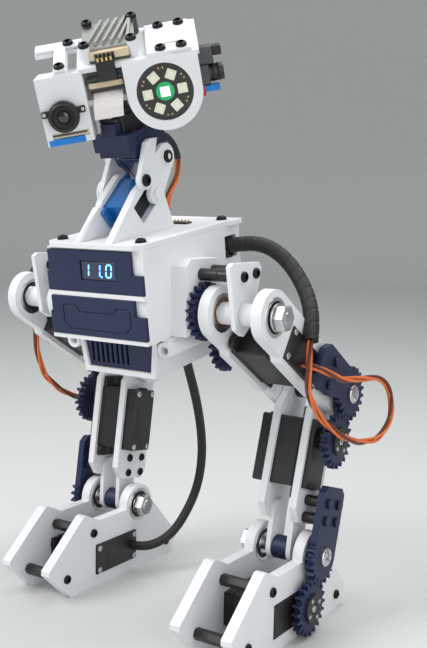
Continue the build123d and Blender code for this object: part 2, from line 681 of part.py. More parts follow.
# ---------------------------------------------------------------- cables
def tube(name, points, diameter):
    """Straight runs joined by arcs as large as the runs allow."""
    route = [Vector(*p) for p in points]
    runs = [b - a for a, b in zip(route, route[1:])]
    radii = []
    for one, two in zip(runs, runs[1:]):
        half_turn = radians(one.get_angle(two)) / 2
        radii.append(0.45 * min(one.length, two.length) / tan(half_turn))
    path = FilletPolyline(*route, radius=radii)
    section = Plane(origin=route[0], z_dir=runs[0]) * Circle(diameter / 2)
    solid = sweep(section, path=path)
    expected = pi * diameter**2 / 4 * path.length
    print(name, "length %.0f" % path.length, "radii", [round(r) for r in radii],
          "volume ratio %.3f" % (solid.volume / expected))
    return solid


LOOM = [(33.3, 15, 222.9), (44.1, 17.2, 224.9), (54.8, 19.8, 223.6), (64.5, 21.1, 218.5), (73.6, 20.8, 210.4),
        (82.8, 17.1, 200.2), (89.4, 11.6, 191.8), (94, 6, 182.6), (96, 1.2, 173)]
LEG_LEAD = [(96.02, 1.15, 172.9), (98.4, -4.6, 161.4), (99.6, -7.5, 147.5), (102, -2, 134), (105, 15, 121),
            (107, 38, 110), (110, 65.9, 107), (112.5, 77, 118.1), (112.5, 77, 133.9), (111, 65.9, 145),
            (108.5, 46, 147.5), (106.8, 22, 149), (106.5, 7.7, 154.3), (102.7, 2.3, 157.8), (96.25, -0.8, 159.8),
            (88.75, -0.8, 159.8)]
FOOT_LEAD = [(-8, 20, 183.4), (-8, 23, 166), (-9, 33, 144), (-12, 48, 119), (-17, 62, 93), (-22, 70, 71),
             (-26, 70, 51), (-28.5, 60, 35), (-29.5, 46, 25), (-35.5, 35.5, 19.5), (-44.5, 29.5, 17.6),
             (-54.85, 29.5, 17.6)]
NECK_LEAD = [(0, -22.3, 284.6), (0, -13.8, 287.5), (0, -3.9, 286.1), (0, 4, 280), (0, 8.1, 270.8),
             (-0.5, 5.2, 260.2), (-1.5, -3.1, 247.6), (-1.5, -1.25, 235.8)]


def mirrored(points):
    return [(-x, y, z) for x, y, z in points]


# the right loom hangs further forward, beside the hip nut
LOOM_RIGHT = [(-33.3, 15, 222.9), (-45, 17.5, 225.5), (-58, 16, 226.5), (-72, 8, 224), (-84, -3, 217),
              (-93, -11, 208), (-98, -14.5, 198), (-100, -15.5, 187), (-100, -13, 175)]
LEG_LEAD_RIGHT = [(-100, -12.97, 174.88), (-100.3, -10.6, 163), (-100.8, -8.3, 149)] + mirrored(LEG_LEAD[3:])


# ---------------------------------------------------------------- build and write
def build():
    parts = {
        "torso_shell": torso_shell(),
        "torso_lid": torso_lid(),
        "lid_screws": lid_screws(),
        "upper_front_panel": upper_front_panel(),
        "middle_front_panel": middle_front_panel(),
        "display_module": display_module(),
        "lower_frame": lower_frame(),
        "slat_grille": slat_grille(),
        "battery_pack": battery_pack(),
        "hip_blocks": hip_blocks(),
        "hip_ear_plates": hip_ear_plates(),
        "hip_spacers": hip_spacers(),
        "hip_axles": hip_axles(),
        "neck_base_plates": neck_base_plates(),
        "neck_servo": neck_servo(),
        "neck_links": neck_links(),
        "tilt_servo": tilt_servo(),
        "pan_bracket": pan_bracket(),
        "pan_servo": pan_servo(),
        "head_chassis": head_chassis(),
        "camera_module": camera_module(),
        "led_eye": led_eye(),
        "head_electronics": head_electronics(),
        "neck_lead": tube("neck_lead", NECK_LEAD, 4),
        "foot_lead": tube("foot_lead", FOOT_LEAD, 6),
    }
    gears = []
    for side in ("left", "right"):
        leg = Leg(side)
        gears.append(one_side(side, hip_gears(leg)))
        pieces = {
            "thigh_plates": thigh_plates(leg),
            "thigh_servo": servo_place(leg.hip_pinion, 88.7, False, degrees(leg.thigh)) * big_servo(43),
            "thigh_bearings": thigh_bearings(leg),
            "knee_gear": knee_gear(leg),
            "shin_plates": shin_plates(leg),
            "shin_servo": servo_place(leg.knee_pinion, 50.1, True, degrees(leg.shin)) * big_servo(47.9),
            "shin_axles": shin_axles(leg),
            "ankle_link": ankle_link(leg),
            "foot_plates": foot_plates(leg),
            "foot_servo": servo_place(leg.ankle_pinion, 54.9, True, 180) * big_servo(43),
            "foot_rods": foot_rods(leg),
            "foot_bearings": foot_bearings(leg),
            "hip_pinion": pinion(leg.hip_pinion, HIP, HIP_GEAR_X, 48.5),
            "knee_pinion": pinion(leg.knee_pinion, leg.knee, GEAR_X, 98.5),
            "ankle_pinion": pinion(leg.ankle_pinion, leg.ankle, GEAR_X, 98.5),
        }
        for name, shape in pieces.items():
            parts[name + "_" + side] = one_side(side, shape)
        loom, lead = (LOOM, LEG_LEAD) if side == "left" else (LOOM_RIGHT, LEG_LEAD_RIGHT)
        parts["hip_loom_" + side] = tube("hip_loom_" + side, loom, 9)
        parts["leg_lead_" + side] = tube("leg_lead_" + side, lead, 4)
    parts["hip_gears"] = group(*gears)
    return parts


CORDS = ("neck_lead", "foot_lead", "hip_loom_left", "hip_loom_right", "leg_lead_left", "leg_lead_right")
PARTS = build()
BOX = Compound([s for name, shape in PARTS.items() if name not in CORDS for s in shape.solids()]).bounding_box()
SHIFT = (-(BOX.min.X + BOX.max.X) / 2, -(BOX.min.Y + BOX.max.Y) / 2, -BOX.min.Z)
print("shift", [round(v, 4) for v in SHIFT], "nodes", len(PARTS))
for node, shape in PARTS.items():
    export_step(Pos(*SHIFT) * shape, "parts/" + node + ".step")
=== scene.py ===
"""Visual model of the two-legged robot kit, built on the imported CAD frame.

Lengths in the helpers are in millimetres in a local frame, and MM turns them into metres.
"""
import bmesh
import bpy
import json
from math import atan2, cos, pi, radians, sin, sqrt
from mathutils import Matrix, Vector


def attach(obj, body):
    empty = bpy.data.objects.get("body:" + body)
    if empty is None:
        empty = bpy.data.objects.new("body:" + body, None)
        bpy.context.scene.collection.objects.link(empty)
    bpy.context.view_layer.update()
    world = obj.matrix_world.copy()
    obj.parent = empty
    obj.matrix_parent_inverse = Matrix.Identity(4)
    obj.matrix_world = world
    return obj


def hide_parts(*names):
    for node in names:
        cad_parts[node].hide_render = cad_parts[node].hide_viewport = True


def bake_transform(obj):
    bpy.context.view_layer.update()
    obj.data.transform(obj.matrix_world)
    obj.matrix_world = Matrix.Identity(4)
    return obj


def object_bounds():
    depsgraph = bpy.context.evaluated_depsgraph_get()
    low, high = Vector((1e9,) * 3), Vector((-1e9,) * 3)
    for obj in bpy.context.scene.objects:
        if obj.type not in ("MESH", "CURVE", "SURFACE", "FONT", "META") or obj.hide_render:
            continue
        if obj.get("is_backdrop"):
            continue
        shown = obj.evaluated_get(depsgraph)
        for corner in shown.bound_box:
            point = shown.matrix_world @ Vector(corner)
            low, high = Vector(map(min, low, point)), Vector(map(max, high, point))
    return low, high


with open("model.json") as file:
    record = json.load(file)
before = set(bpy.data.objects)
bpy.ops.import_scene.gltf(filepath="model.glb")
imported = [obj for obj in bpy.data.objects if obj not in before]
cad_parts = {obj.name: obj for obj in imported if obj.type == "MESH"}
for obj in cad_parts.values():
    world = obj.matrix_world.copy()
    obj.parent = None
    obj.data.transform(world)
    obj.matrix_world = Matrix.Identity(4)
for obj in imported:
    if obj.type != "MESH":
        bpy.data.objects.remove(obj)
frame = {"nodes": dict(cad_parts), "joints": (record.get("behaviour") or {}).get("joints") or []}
cad_box = [list(corner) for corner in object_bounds()]

MM = 0.001
NODES = frame["nodes"]
JOINTS = {joint["name"]: joint for joint in frame["joints"]}
SHIFT_Y = 5.0318           # millimetres from the layout's origin, in y, to the part's
SIDES = {"left": 1, "right": -1}


def show(thing):
    """Put an object into the scene."""
    bpy.context.scene.collection.objects.link(thing)


# ---------------------------------------------------------------- camera
CAMERA_MM = (349.81, -475.39 + SHIFT_Y, 245.36)
YAW, PITCH, ROLL = radians(33.74), radians(-6.79), radians(1.04)
forward = Vector((-sin(YAW) * cos(PITCH), cos(YAW) * cos(PITCH), sin(PITCH)))
level = Vector((cos(YAW), sin(YAW), 0))
upright = level.cross(forward)
across = level * cos(ROLL) + upright * sin(ROLL)
up = upright * cos(ROLL) - level * sin(ROLL)
camera_data = bpy.data.cameras.new("camera")
camera_data.lens = 54.64
camera_data.sensor_width = 36
camera_data.clip_start = 0.01
camera = bpy.data.objects.new("camera", camera_data)
camera_turn = Matrix((across, up, -forward)).transposed().to_4x4()
camera.matrix_world = Matrix.Translation(Vector(CAMERA_MM) * MM) @ camera_turn
show(camera)
bpy.context.scene.camera = camera


# ---------------------------------------------------------------- materials
def material(name, colour, rough, metal=0.0, coat=0.0, grain=(0, 0), lines=None, vary=0.06, glow=None):
    """Procedural surface: colour variation, uneven gloss, and bump from grain and print lines.

    grain is (scale per metre, bump height in metres); lines is (axis, pitch in metres, height).
    """
    mat = bpy.data.materials.new(name)
    mat.use_nodes = True
    nodes, links = mat.node_tree.nodes, mat.node_tree.links
    shader = nodes["Principled BSDF"]
    shader.inputs["Metallic"].default_value = metal
    shader.inputs["Coat Weight"].default_value = coat
    shader.inputs["Coat Roughness"].default_value = 0.12
    place = nodes.new("ShaderNodeTexCoord")

    def noise(scale, detail):
        node = nodes.new("ShaderNodeTexNoise")
        node.inputs["Scale"].default_value = scale
        node.inputs["Detail"].default_value = detail
        links.new(place.outputs["Object"], node.inputs["Vector"])
        return node.outputs["Fac"]

    def bump(height, distance, below):
        node = nodes.new("ShaderNodeBump")
        node.inputs["Distance"].default_value = distance
        links.new(height, node.inputs["Height"])
        if below:
            links.new(below, node.inputs["Normal"])
        return node.outputs["Normal"]

    cloud = noise(45, 6)
    mix = nodes.new("ShaderNodeMix")
    mix.data_type = "RGBA"
    mix.inputs["A"].default_value = [c * (1 - vary) for c in colour] + [1]
    mix.inputs["B"].default_value = [min(1, c * (1 + vary)) for c in colour] + [1]
    links.new(cloud, mix.inputs["Factor"])
    links.new(mix.outputs["Result"], shader.inputs["Base Color"])
    gloss = nodes.new("ShaderNodeMapRange")
    gloss.inputs["To Min"].default_value = max(0.02, rough - 0.07)
    gloss.inputs["To Max"].default_value = min(1, rough + 0.07)
    links.new(cloud, gloss.inputs["Value"])
    links.new(gloss.outputs["Result"], shader.inputs["Roughness"])
    normal = None
    if grain[1]:
        normal = bump(noise(grain[0], 3), grain[1], normal)
    if lines:
        wave = nodes.new("ShaderNodeTexWave")
        wave.bands_direction = lines[0]
        wave.inputs["Scale"].default_value = 0.314 / lines[1]     # a wave is 0.314 / scale long
        wave.inputs["Distortion"].default_value = 0.4
        links.new(place.outputs["Object"], wave.inputs["Vector"])
        normal = bump(wave.outputs["Fac"], lines[2], normal)
    if normal:
        links.new(normal, shader.inputs["Normal"])
    if glow:
        shader.inputs["Emission Color"].default_value = list(glow[0]) + [1]
        shader.inputs["Emission Strength"].default_value = glow[1]
    return mat


PRINT_GRAIN = (900, 0.00004)
PRINT_WHITE = (0.78, 0.79, 0.81)
WHITE = material("white_print", PRINT_WHITE, 0.5, grain=PRINT_GRAIN, lines=("Z", 0.0005, 0.00001), vary=0.03)
WHITE_PLATE = material("white_plate", PRINT_WHITE, 0.46, grain=PRINT_GRAIN,
                       lines=("DIAGONAL", 0.0006, 0.00001), vary=0.03)
NAVY = material("navy_print", (0.008, 0.016, 0.06), 0.5, grain=PRINT_GRAIN,
                lines=("Z", 0.0005, 0.000012), vary=0.25)
BLACK = material("black_moulded", (0.012, 0.012, 0.013), 0.42, grain=(2500, 0.00002), vary=0.3)
RUBBER = material("black_rubber", (0.014, 0.014, 0.015), 0.6, grain=(3000, 0.00002), vary=0.3)
BLACK_STEEL = material("black_steel", (0.02, 0.02, 0.022), 0.32, metal=0.7, grain=(2500, 0.00001), vary=0.3)
STEEL = material("steel", (0.6, 0.6, 0.61), 0.27, metal=1.0, grain=(1800, 0.00001), vary=0.12)
BRASS = material("bronze_ring", (0.23, 0.13, 0.08), 0.38, metal=0.8, grain=(1800, 0.00001), vary=0.2)
BLUE = material("blue_servo_case", (0.004, 0.13, 0.42), 0.18, coat=0.5, grain=(900, 0.00001), vary=0.15)
# the blue servo case with painted shade: a darker copy of the same case, used for the tilt servo
BLUE_WITH_PAINTED_SHADE = material("blue_servo_case_painted_shade", (0.005, 0.025, 0.11), 0.2, coat=0.4, grain=(900, 0.00001), vary=0.15)
BLUE_TAB = material("blue_stiffener", (0.0, 0.2, 0.65), 0.4, grain=(1500, 0.00001))
ORANGE = material("orange_lead", (0.75, 0.16, 0.03), 0.42, grain=(1500, 0.00001))
RED = material("red_lead", (0.5, 0.03, 0.02), 0.42, grain=(1500, 0.00001))
BROWN = material("brown_lead", (0.12, 0.035, 0.02), 0.45, grain=(1500, 0.00001))
CREAM = material("cream_connector", (0.72, 0.6, 0.42), 0.5, grain=(1500, 0.00001))
LAMP = material("square_lamp", (0.84, 0.85, 0.70), 0.35, coat=0.3, grain=(1200, 0.00002))
LAMP_CORE = material("lamp_core", (0.6, 0.55, 0.4), 0.3, grain=(1500, 0.00002))
GREEN_GLOW = material("green_glow", (0.3, 1.0, 0.55), 0.3, glow=((0.25, 1.0, 0.5), 9.0))
# painted light: a faint green glow on the board, standing for the lit lamp's light falling round it
GREEN_LIGHT_POOL_PAINTED = material("painted_green_light_pool", (0.01, 0.28, 0.1), 0.4, glow=((0.0, 0.6, 0.18), 0.35))
BLUE_GLOW = material("blue_segments", (0.05, 0.2, 0.9), 0.4, glow=((0.1, 0.33, 1.0), 4.0))
RED_GLOW = material("red_light", (1.0, 0.1, 0.05), 0.4, glow=((1.0, 0.08, 0.03), 4.0))
WINDOW = material("dark_window", (0.008, 0.013, 0.06), 0.12, coat=0.6, grain=(300, 0.000005))
PCB = material("green_board", (0.02, 0.06, 0.045), 0.35, coat=0.3, grain=(700, 0.00002), vary=0.35)
PCB_BLACK = material("black_board", (0.022, 0.02, 0.018), 0.35, coat=0.3, grain=(700, 0.00002), vary=0.4)
COOLER = material("grey_cooler", (0.36, 0.37, 0.34), 0.45, metal=0.55, grain=(1500, 0.00002), vary=0.12)
GREY = material("grey_block", (0.07, 0.07, 0.072), 0.5, grain=(1500, 0.00002), vary=0.2)
RIBBON = material("ribbon_cable", (0.8, 0.76, 0.74), 0.4, grain=(900, 0.00001),
                  lines=("X", 0.001, 0.00003), vary=0.05)
GLASS = material("lens_glass", (0.006, 0.006, 0.01), 0.05, coat=1.0, grain=(200, 0.000002))
LENS_BLACK = material("lens_black", (0.003, 0.003, 0.004), 0.6, grain=(1500, 0.00001))
GOLD = material("pins", (0.7, 0.55, 0.25), 0.3, metal=1.0, grain=(1500, 0.00001))


# ---------------------------------------------------------------- mesh helpers
def local_frame(origin_mm, x_dir, z_dir):
    """Matrix from local millimetres to metres."""
    z = Vector(z_dir).normalized()
    x = Vector(x_dir).normalized()
    turn = Matrix((x, z.cross(x), z)).transposed().to_4x4()
    return Matrix.Translation(Vector(origin_mm) * MM) @ turn @ Matrix.Scale(MM, 4)


def move(x, y, z):
    return Matrix.Translation((x, y, z))


class Shape:
    """Collects closed forms with their materials and makes one object of them."""

    def __init__(self):
        self.points, self.faces, self.marks, self.mats = [], [], [], []

    def add(self, matrix, points, faces, mat):
        if mat not in self.mats:
            self.mats.append(mat)
        start = len(self.points)
        self.points += [matrix @ Vector(p) for p in points]
        flip = matrix.determinant() < 0
        for face in faces:
            face = [start + i for i in face]
            self.faces.append(face[::-1] if flip else face)
            self.marks.append(self.mats.index(mat))

    def prism(self, matrix, outline, low, high, mat, edge=0.3):
        """Outline pushed along Z, with chamfered rims."""
        count = len(outline)
        inset = shrink(outline, edge)
        rings = [(inset, low), (outline, low + edge), (outline, high - edge), (inset, high)]
        if edge == 0:
            rings = [(outline, low), (outline, high)]
        points = [(x, y, z) for ring, z in rings for x, y in ring]
        faces = []
        for level_no in range(len(rings) - 1):
            for i in range(count):
                j = (i + 1) % count
                a, b = level_no * count, (level_no + 1) * count
                faces.append((a + i, a + j, b + j, b + i))
        top = (len(rings) - 1) * count
        faces += [tuple(range(count))[::-1], tuple(range(top, top + count))]
        self.add(matrix, points, faces, mat)

    def box(self, matrix, low, high, mat, edge=0.3):
        outline = [(low[0], low[1]), (high[0], low[1]), (high[0], high[1]), (low[0], high[1])]
        edge = min(edge, (high[2] - low[2]) / 3, (high[0] - low[0]) / 3, (high[1] - low[1]) / 3)
        self.prism(matrix, cut_corners(outline, edge), low[2], high[2], mat, edge)

    def lathe(self, matrix, profile, mat, sides=40):
        """Profile of (radius, height) turned about Z; a zero radius closes an end."""
        points, rings = [], []
        for r, z in profile:
            if r == 0:
                rings.append([len(points)])
                points.append((0, 0, z))
            else:
                rings.append(list(range(len(points), len(points) + sides)))
                turns = [2 * pi * k / sides for k in range(sides)]
                points += [(r * cos(turn), r * sin(turn), z) for turn in turns]
        faces = []
        for a, b in zip(rings, rings[1:]):
            for k in range(sides):
                j = (k + 1) % sides
                face = [a[k % len(a)], a[j % len(a)], b[j % len(b)], b[k % len(b)]]
                face = [i for n, i in enumerate(face) if i not in face[:n]]
                if len(face) > 2:
                    faces.append(face)
        self.add(matrix, points, faces, mat)

    def ring(self, matrix, inner, outer, low, high, mat, edge=0.25):
        profile = [(inner, low), (outer - edge, low), (outer, low + edge), (outer, high - edge),
                   (outer - edge, high), (inner, high), (inner, low)]
        self.lathe(matrix, profile, mat)

    def rod(self, matrix, r, low, high, mat, edge=0.3):
        profile = [(0, low), (r - edge, low), (r, low + edge), (r, high - edge), (r - edge, high), (0, high)]
        self.lathe(matrix, profile, mat, 32)

    def head(self, matrix, r, height, kind, mat):
        """Screw head on z = 0 with a real recess: a hexagon, or a cross."""
        rings, sides, depth = 15, 48, height * 0.6
        points, faces = [(0, 0, -0.05)], []
        grid = [(r, 0.0), (r, height * 0.45)] + [(r * (1 - k / rings), None) for k in range(1, rings)]
        for radius, z in grid:
            for k in range(sides):
                turn = 2 * pi * k / sides
                x, y = radius * cos(turn), radius * sin(turn)
                high = z
                if high is None:
                    high = height * (0.45 + 0.55 * sqrt(max(0, 1 - (radius / r) ** 2)))
                    if kind == "hex":
                        inside = max(abs(x * cos(a) + y * sin(a)) for a in (0, pi / 3, 2 * pi / 3)) < r * 0.48
                    else:
                        inside = min(abs(x), abs(y)) < r * 0.16 and max(abs(x), abs(y)) < r * 0.6
                    high = height - depth if inside else high
                points.append((x, y, high))
        for level_no in range(len(grid) - 1):
            a, b = 1 + level_no * sides, 1 + (level_no + 1) * sides
            for k in range(sides):
                j = (k + 1) % sides
                faces.append((a + k, a + j, b + j, b + k))
        last = 1 + (len(grid) - 1) * sides
        faces.append(tuple(range(last, last + sides)))
        faces += [(0, 1 + (k + 1) % sides, 1 + k) for k in range(sides)]
        self.add(matrix, points, faces, mat)

    def sweep(self, line, radius, mat, sides=14):
        """Tube in metres along a line of points; radius is a number or a function of (run, turn)."""
        points, faces = [], []
        for here, side, other, run in walk(line):
            for k in range(sides):
                turn = 2 * pi * k / sides
                r = radius(run, turn) if callable(radius) else radius
                points.append(here + side * r * cos(turn) + other * r * sin(turn))
        for i in range(len(line) - 1):
            for k in range(sides):
                j = (k + 1) % sides
                faces.append((i * sides + k, i * sides + j, (i + 1) * sides + j, (i + 1) * sides + k))
        end = (len(line) - 1) * sides
        faces += [tuple(range(sides))[::-1], tuple(range(end, end + sides))]
        self.add(Matrix.Identity(4), points, faces, mat)

    def make(self, name, slot_name, body=None, replaces=(), sharp=35):
        mesh = bpy.data.meshes.new(name)
        mesh.from_pydata([tuple(p) for p in self.points], [], self.faces)
        for mat in self.mats:
            mesh.materials.append(mat)
        mesh.polygons.foreach_set("material_index", self.marks)
        mesh.polygons.foreach_set("use_smooth", [True] * len(mesh.polygons))
        mesh.set_sharp_from_angle(angle=radians(sharp))
        mesh.update()
        piece = bpy.data.objects.new(name, mesh)
        show(piece)
        if body:
            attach(piece, body)
        if replaces:
            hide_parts(*replaces)
        return piece


def walk(line):
    """Each point of a line, two directions across the line there, and the length run so far."""
    side, run = None, 0.0
    for i, here in enumerate(line):
        ahead = (line[min(i + 1, len(line) - 1)] - line[max(i - 1, 0)]).normalized()
        if side is None:
            side = ahead.orthogonal().normalized()
        side = (side - ahead * side.dot(ahead)).normalized()
        if i:
            run += (here - line[i - 1]).length
        yield here, side, ahead.cross(side), run


def shrink(outline, amount):
    """Outline moved inwards by amount; it runs anticlockwise."""
    result = []
    count = len(outline)
    for i in range(count):
        before, here, after = outline[i - 1], outline[i], outline[(i + 1) % count]
        a = Vector((here[0] - before[0], here[1] - before[1])).normalized()
        b = Vector((after[0] - here[0], after[1] - here[1])).normalized()
        normal = Vector((-a.y - b.y, a.x + b.x))
        if normal.length < 1e-6:
            normal = Vector((-a.y, a.x))
        normal.normalize()
        lean = max(0.3, normal.dot(Vector((-a.y, a.x))))
        result.append((here[0] + normal.x * amount / lean, here[1] + normal.y * amount / lean))
    return result


def cut_corners(outline, amount):
    """Outline with each corner replaced by two points, amount away from it."""
    result = []
    for i, here in enumerate(outline):
        here = Vector(here)
        before = (Vector(outline[i - 1]) - here).normalized()
        after = (Vector(outline[(i + 1) % len(outline)]) - here).normalized()
        result += [tuple(here + before * amount), tuple(here + after * amount)]
    return result


def side_axis(side, x, centre, outwards=True):
    """Frame on a point of the side view (y, z), with Z along the robot's width, away from the middle."""
    sign = SIDES[side]
    out = sign if outwards else -sign
    return local_frame((sign * x, centre[0], centre[1]), (0, 1, 0), (out, 0, 0))


# ---------------------------------------------------------------- cables
def route(points):
    """Line of points on one NURBS curve through the given control points, in the layout's millimetres."""
    curve = bpy.data.curves.new("route", "CURVE")
    curve.dimensions = "3D"
    curve.resolution_u = 24
    spline = curve.splines.new("NURBS")
    spline.points.add(len(points) - 1)
    for point, (x, y, z) in zip(spline.points, points):
        point.co = (x * MM, (y + SHIFT_Y) * MM, z * MM, 1)
    spline.order_u = 3
    spline.use_endpoint_u = True
    holder = bpy.data.objects.new("route", curve)
    show(holder)
    bpy.context.view_layer.update()
    mesh = bpy.data.meshes.new_from_object(holder.evaluated_get(bpy.context.evaluated_depsgraph_get()))
    line = [v.co.copy() for v in mesh.vertices]
    bpy.data.objects.remove(holder)
    return line


def line_length(line):
    return sum((b - a).length for a, b in zip(line, line[1:]))


def part_of(line, start, end):
    """Stretch of a line between two shares of its length."""
    total = line_length(line)
    run, kept = 0.0, []
    for i, here in enumerate(line):
        if i:
            run += (here - line[i - 1]).length
        if start * total - 1e-9 <= run <= end * total + 1e-9:
            kept.append(here)
    return kept


def spiral_wrap(radius, pitch, gap):
    """Radius of a flat strip wound round a bundle: a groove shows between its turns."""
    def at(run, turn):
        phase = (run / pitch - turn / (2 * pi)) % 1
        edge = min(phase, 1 - phase)
        return radius * (0.9 + 0.1 * min(1, edge / gap))
    return at


def twisted(shape, line, offset, radius, pitch, colours):
    """Thin leads that wind round one line."""
    strands = [[] for _ in colours]
    for here, side, other, run in walk(line):
        for k in range(len(colours)):
            turn = 2 * pi * (run / pitch + k / len(colours))
            strands[k].append(here + side * offset * cos(turn) + other * offset * sin(turn))
    for strand, mat in zip(strands, colours):
        shape.sweep(strand, radius, mat, 10)


def declare(line, diameter):
    tuple(line[0])
    line_length(line)
    [tuple(p) for p in line]


LOOM = [(33.3, 15, 222.9), (44.1, 17.2, 224.9), (54.8, 19.8, 223.6), (64.5, 21.1, 218.5), (73.6, 20.8, 210.4),
        (82.8, 17.1, 200.2), (89.4, 11.6, 191.8), (94, 6, 182.6), (96, 1.2, 173)]
LEG_LEAD = [(96.02, 1.15, 172.9), (98.4, -4.6, 161.4), (99.6, -7.5, 147.5), (102, -2, 134),
            (105, 15, 121), (107, 38, 110), (110, 65.9, 107), (112.5, 77, 118.1), (112.5, 77, 133.9),
            (111, 65.9, 145), (108.5, 46, 147.5), (106.8, 22, 149), (106.5, 7.7, 154.3),
            (102.7, 2.3, 157.8), (96.25, -0.8, 159.8), (88.75, -0.8, 159.8)]
LOOM_RIGHT = [(-33.3, 15, 222.9), (-45, 17.5, 225.5), (-58, 16, 226.5), (-72, 8, 224), (-84, -3, 217),
              (-93, -11, 208), (-98, -14.5, 198), (-100, -15.5, 187), (-100, -13, 175)]
LEG_LEAD_RIGHT = [(-100, -12.97, 174.88), (-100.3, -10.6, 163), (-100.8, -8.3, 149)]
LEG_LEAD_RIGHT += [(-x, y, z) for x, y, z in LEG_LEAD[3:]]     # the rest mirrors the left lead
FOOT_LEAD = [(-8, 20, 183.4), (-8, 23, 166), (-9, 33, 144), (-12, 48, 119), (-17, 62, 93), (-22, 70, 71),
             (-26, 70, 51), (-28.5, 60, 35), (-29.5, 46, 25), (-35.5, 35.5, 19.5), (-44.5, 29.5, 17.6),
             (-54.85, 29.5, 17.6)]
NECK_LEAD = [(0, -22.3, 284.6), (0, -13.8, 287.5), (0, -3.9, 286.1), (0, 4, 280), (0, 8.1, 270.8),
             (-0.5, 5.2, 260.2), (-1.5, -3.1, 247.6), (-1.5, -1.25, 235.8)]
LOOM_D, LEG_LEAD_D, FOOT_LEAD_D, NECK_LEAD_D = 0.009, 0.004, 0.006, 0.004      # diameters, metres
WIRES = [ORANGE, ORANGE, BROWN]
WIRE_OFFSET, WIRE_R = 0.0012, 0.00085
SLEEVE_END = 0.47          # share of the neck lead that is sleeved


def cables():
    """Hip looms and leg leads, then the foot lead in three pieces, then the neck lead in two."""
    for side, loom_points, lead_points in (("left", LOOM, LEG_LEAD), ("right", LOOM_RIGHT, LEG_LEAD_RIGHT)):
        line = route(loom_points)
        shape = Shape()
        shape.sweep(line, spiral_wrap(LOOM_D / 2, 0.0075, 0.1), RUBBER, 36)
        loom = shape.make("hip_loom_wrap_" + side, "cable", replaces=["hip_loom_" + side], sharp=60)
        declare(line, LOOM_D)
        tuple(line[0])
        tuple(line[-1])
        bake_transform(loom)
        line = route(lead_points)
        shape = Shape()
        twisted(shape, line, WIRE_OFFSET, WIRE_R, 0.075, WIRES)
        lead = shape.make("leg_lead_wires_" + side, "cable", "thigh_" + side, ["leg_lead_" + side])
        declare(line, LEG_LEAD_D)
    line = route(FOOT_LEAD)
    spans = (("upper", 0, 0.36, "torso", "thigh_right"), ("middle", 0.36, 0.62, "thigh_right", "shin_right"),
             ("lower", 0.62, 1, "shin_right", "foot_right"))
    joined = []
    for name, start, end, above, below in spans:
        stretch = joined + part_of(line, start, end)
        joined = [stretch[-1]]
        shape = Shape()
        shape.sweep(stretch, FOOT_LEAD_D / 2, RUBBER, 20)
        lead = shape.make("foot_lead_" + name, "cable", replaces=["foot_lead"])
        declare(stretch, FOOT_LEAD_D)
        tuple(stretch[0])
        tuple(stretch[-1])
        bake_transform(lead)
    line = route(NECK_LEAD)
    sleeve = part_of(line, 0, SLEEVE_END)
    leads = [sleeve[-1]] + part_of(line, SLEEVE_END, 1)
    shape = Shape()
    shape.sweep(sleeve, spiral_wrap(NECK_LEAD_D / 2, 0.004, 0.12), RUBBER, 24)
    piece = shape.make("neck_lead_sleeve", "cable", replaces=["neck_lead"])
    declare(sleeve, NECK_LEAD_D)
    tuple(sleeve[0])
    tuple(sleeve[-1])
    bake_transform(piece)
    shape = Shape()
    twisted(shape, leads, WIRE_OFFSET, WIRE_R, 0.06, WIRES)
    piece = shape.make("neck_lead_wires", "cable", replaces=["neck_lead"])
    declare(leads, NECK_LEAD_D)
    tuple(leads[0])
    tuple(leads[-1])
    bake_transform(piece)


cables()

# ---------------------------------------------------------------- servos
def micro_servo(name, matrix, body, node, case, slot_name):
    """Small servo: tinted case in two shells, ears with screws, gear tower, dark label band."""
    shape = Shape()
    shape.box(matrix, (-5.9, -6.1, 0), (16.9, 6.1, 4.6), case, 0.6)
    shape.box(matrix, (-5.75, -5.95, 4.5), (16.75, 5.95, 4.9), BLACK, 0.05)
    shape.box(matrix, (-5.9, -6.1, 4.8), (16.9, 6.1, 18.9), case, 0.5)
    shape.box(matrix, (-5.75, -5.95, 18.8), (16.75, 5.95, 19.2), BLACK, 0.05)
    shape.box(matrix, (-5.9, -6.1, 19.1), (16.9, 6.1, 22.7), case, 0.6)
    for low, high, at in ((-10.65, -5.8, -8.3), (16.8, 21.65, 19.3)):
        shape.box(matrix, (low, -6.1, 15.9), (high, 6.1, 18.4), case, 0.5)
        shape.head(matrix @ move(at, 0, 18.35), 1.7, 1.0, "cross", STEEL)
    shape.lathe(matrix, [(5.9, 22.6), (5.9, 26.1), (5.5, 26.5), (0, 26.5)], case)
    shape.rod(matrix, 2.3, 26.4, 29.5, STEEL, 0.3)
    shape.box(matrix, (-5, -5.2, -0.1), (16, 5.2, 0.05), BLACK, 0.03)
    for x, y in ((-4.4, -4.6), (-4.4, 4.6), (15.4, -4.6), (15.4, 4.6)):
        at = matrix @ move(x, y, 0.1) @ Matrix.Rotation(pi, 4, "X")
        shape.head(at, 0.9, 0.35, "cross", STEEL)
    shape.make(name, slot_name, body, [node])


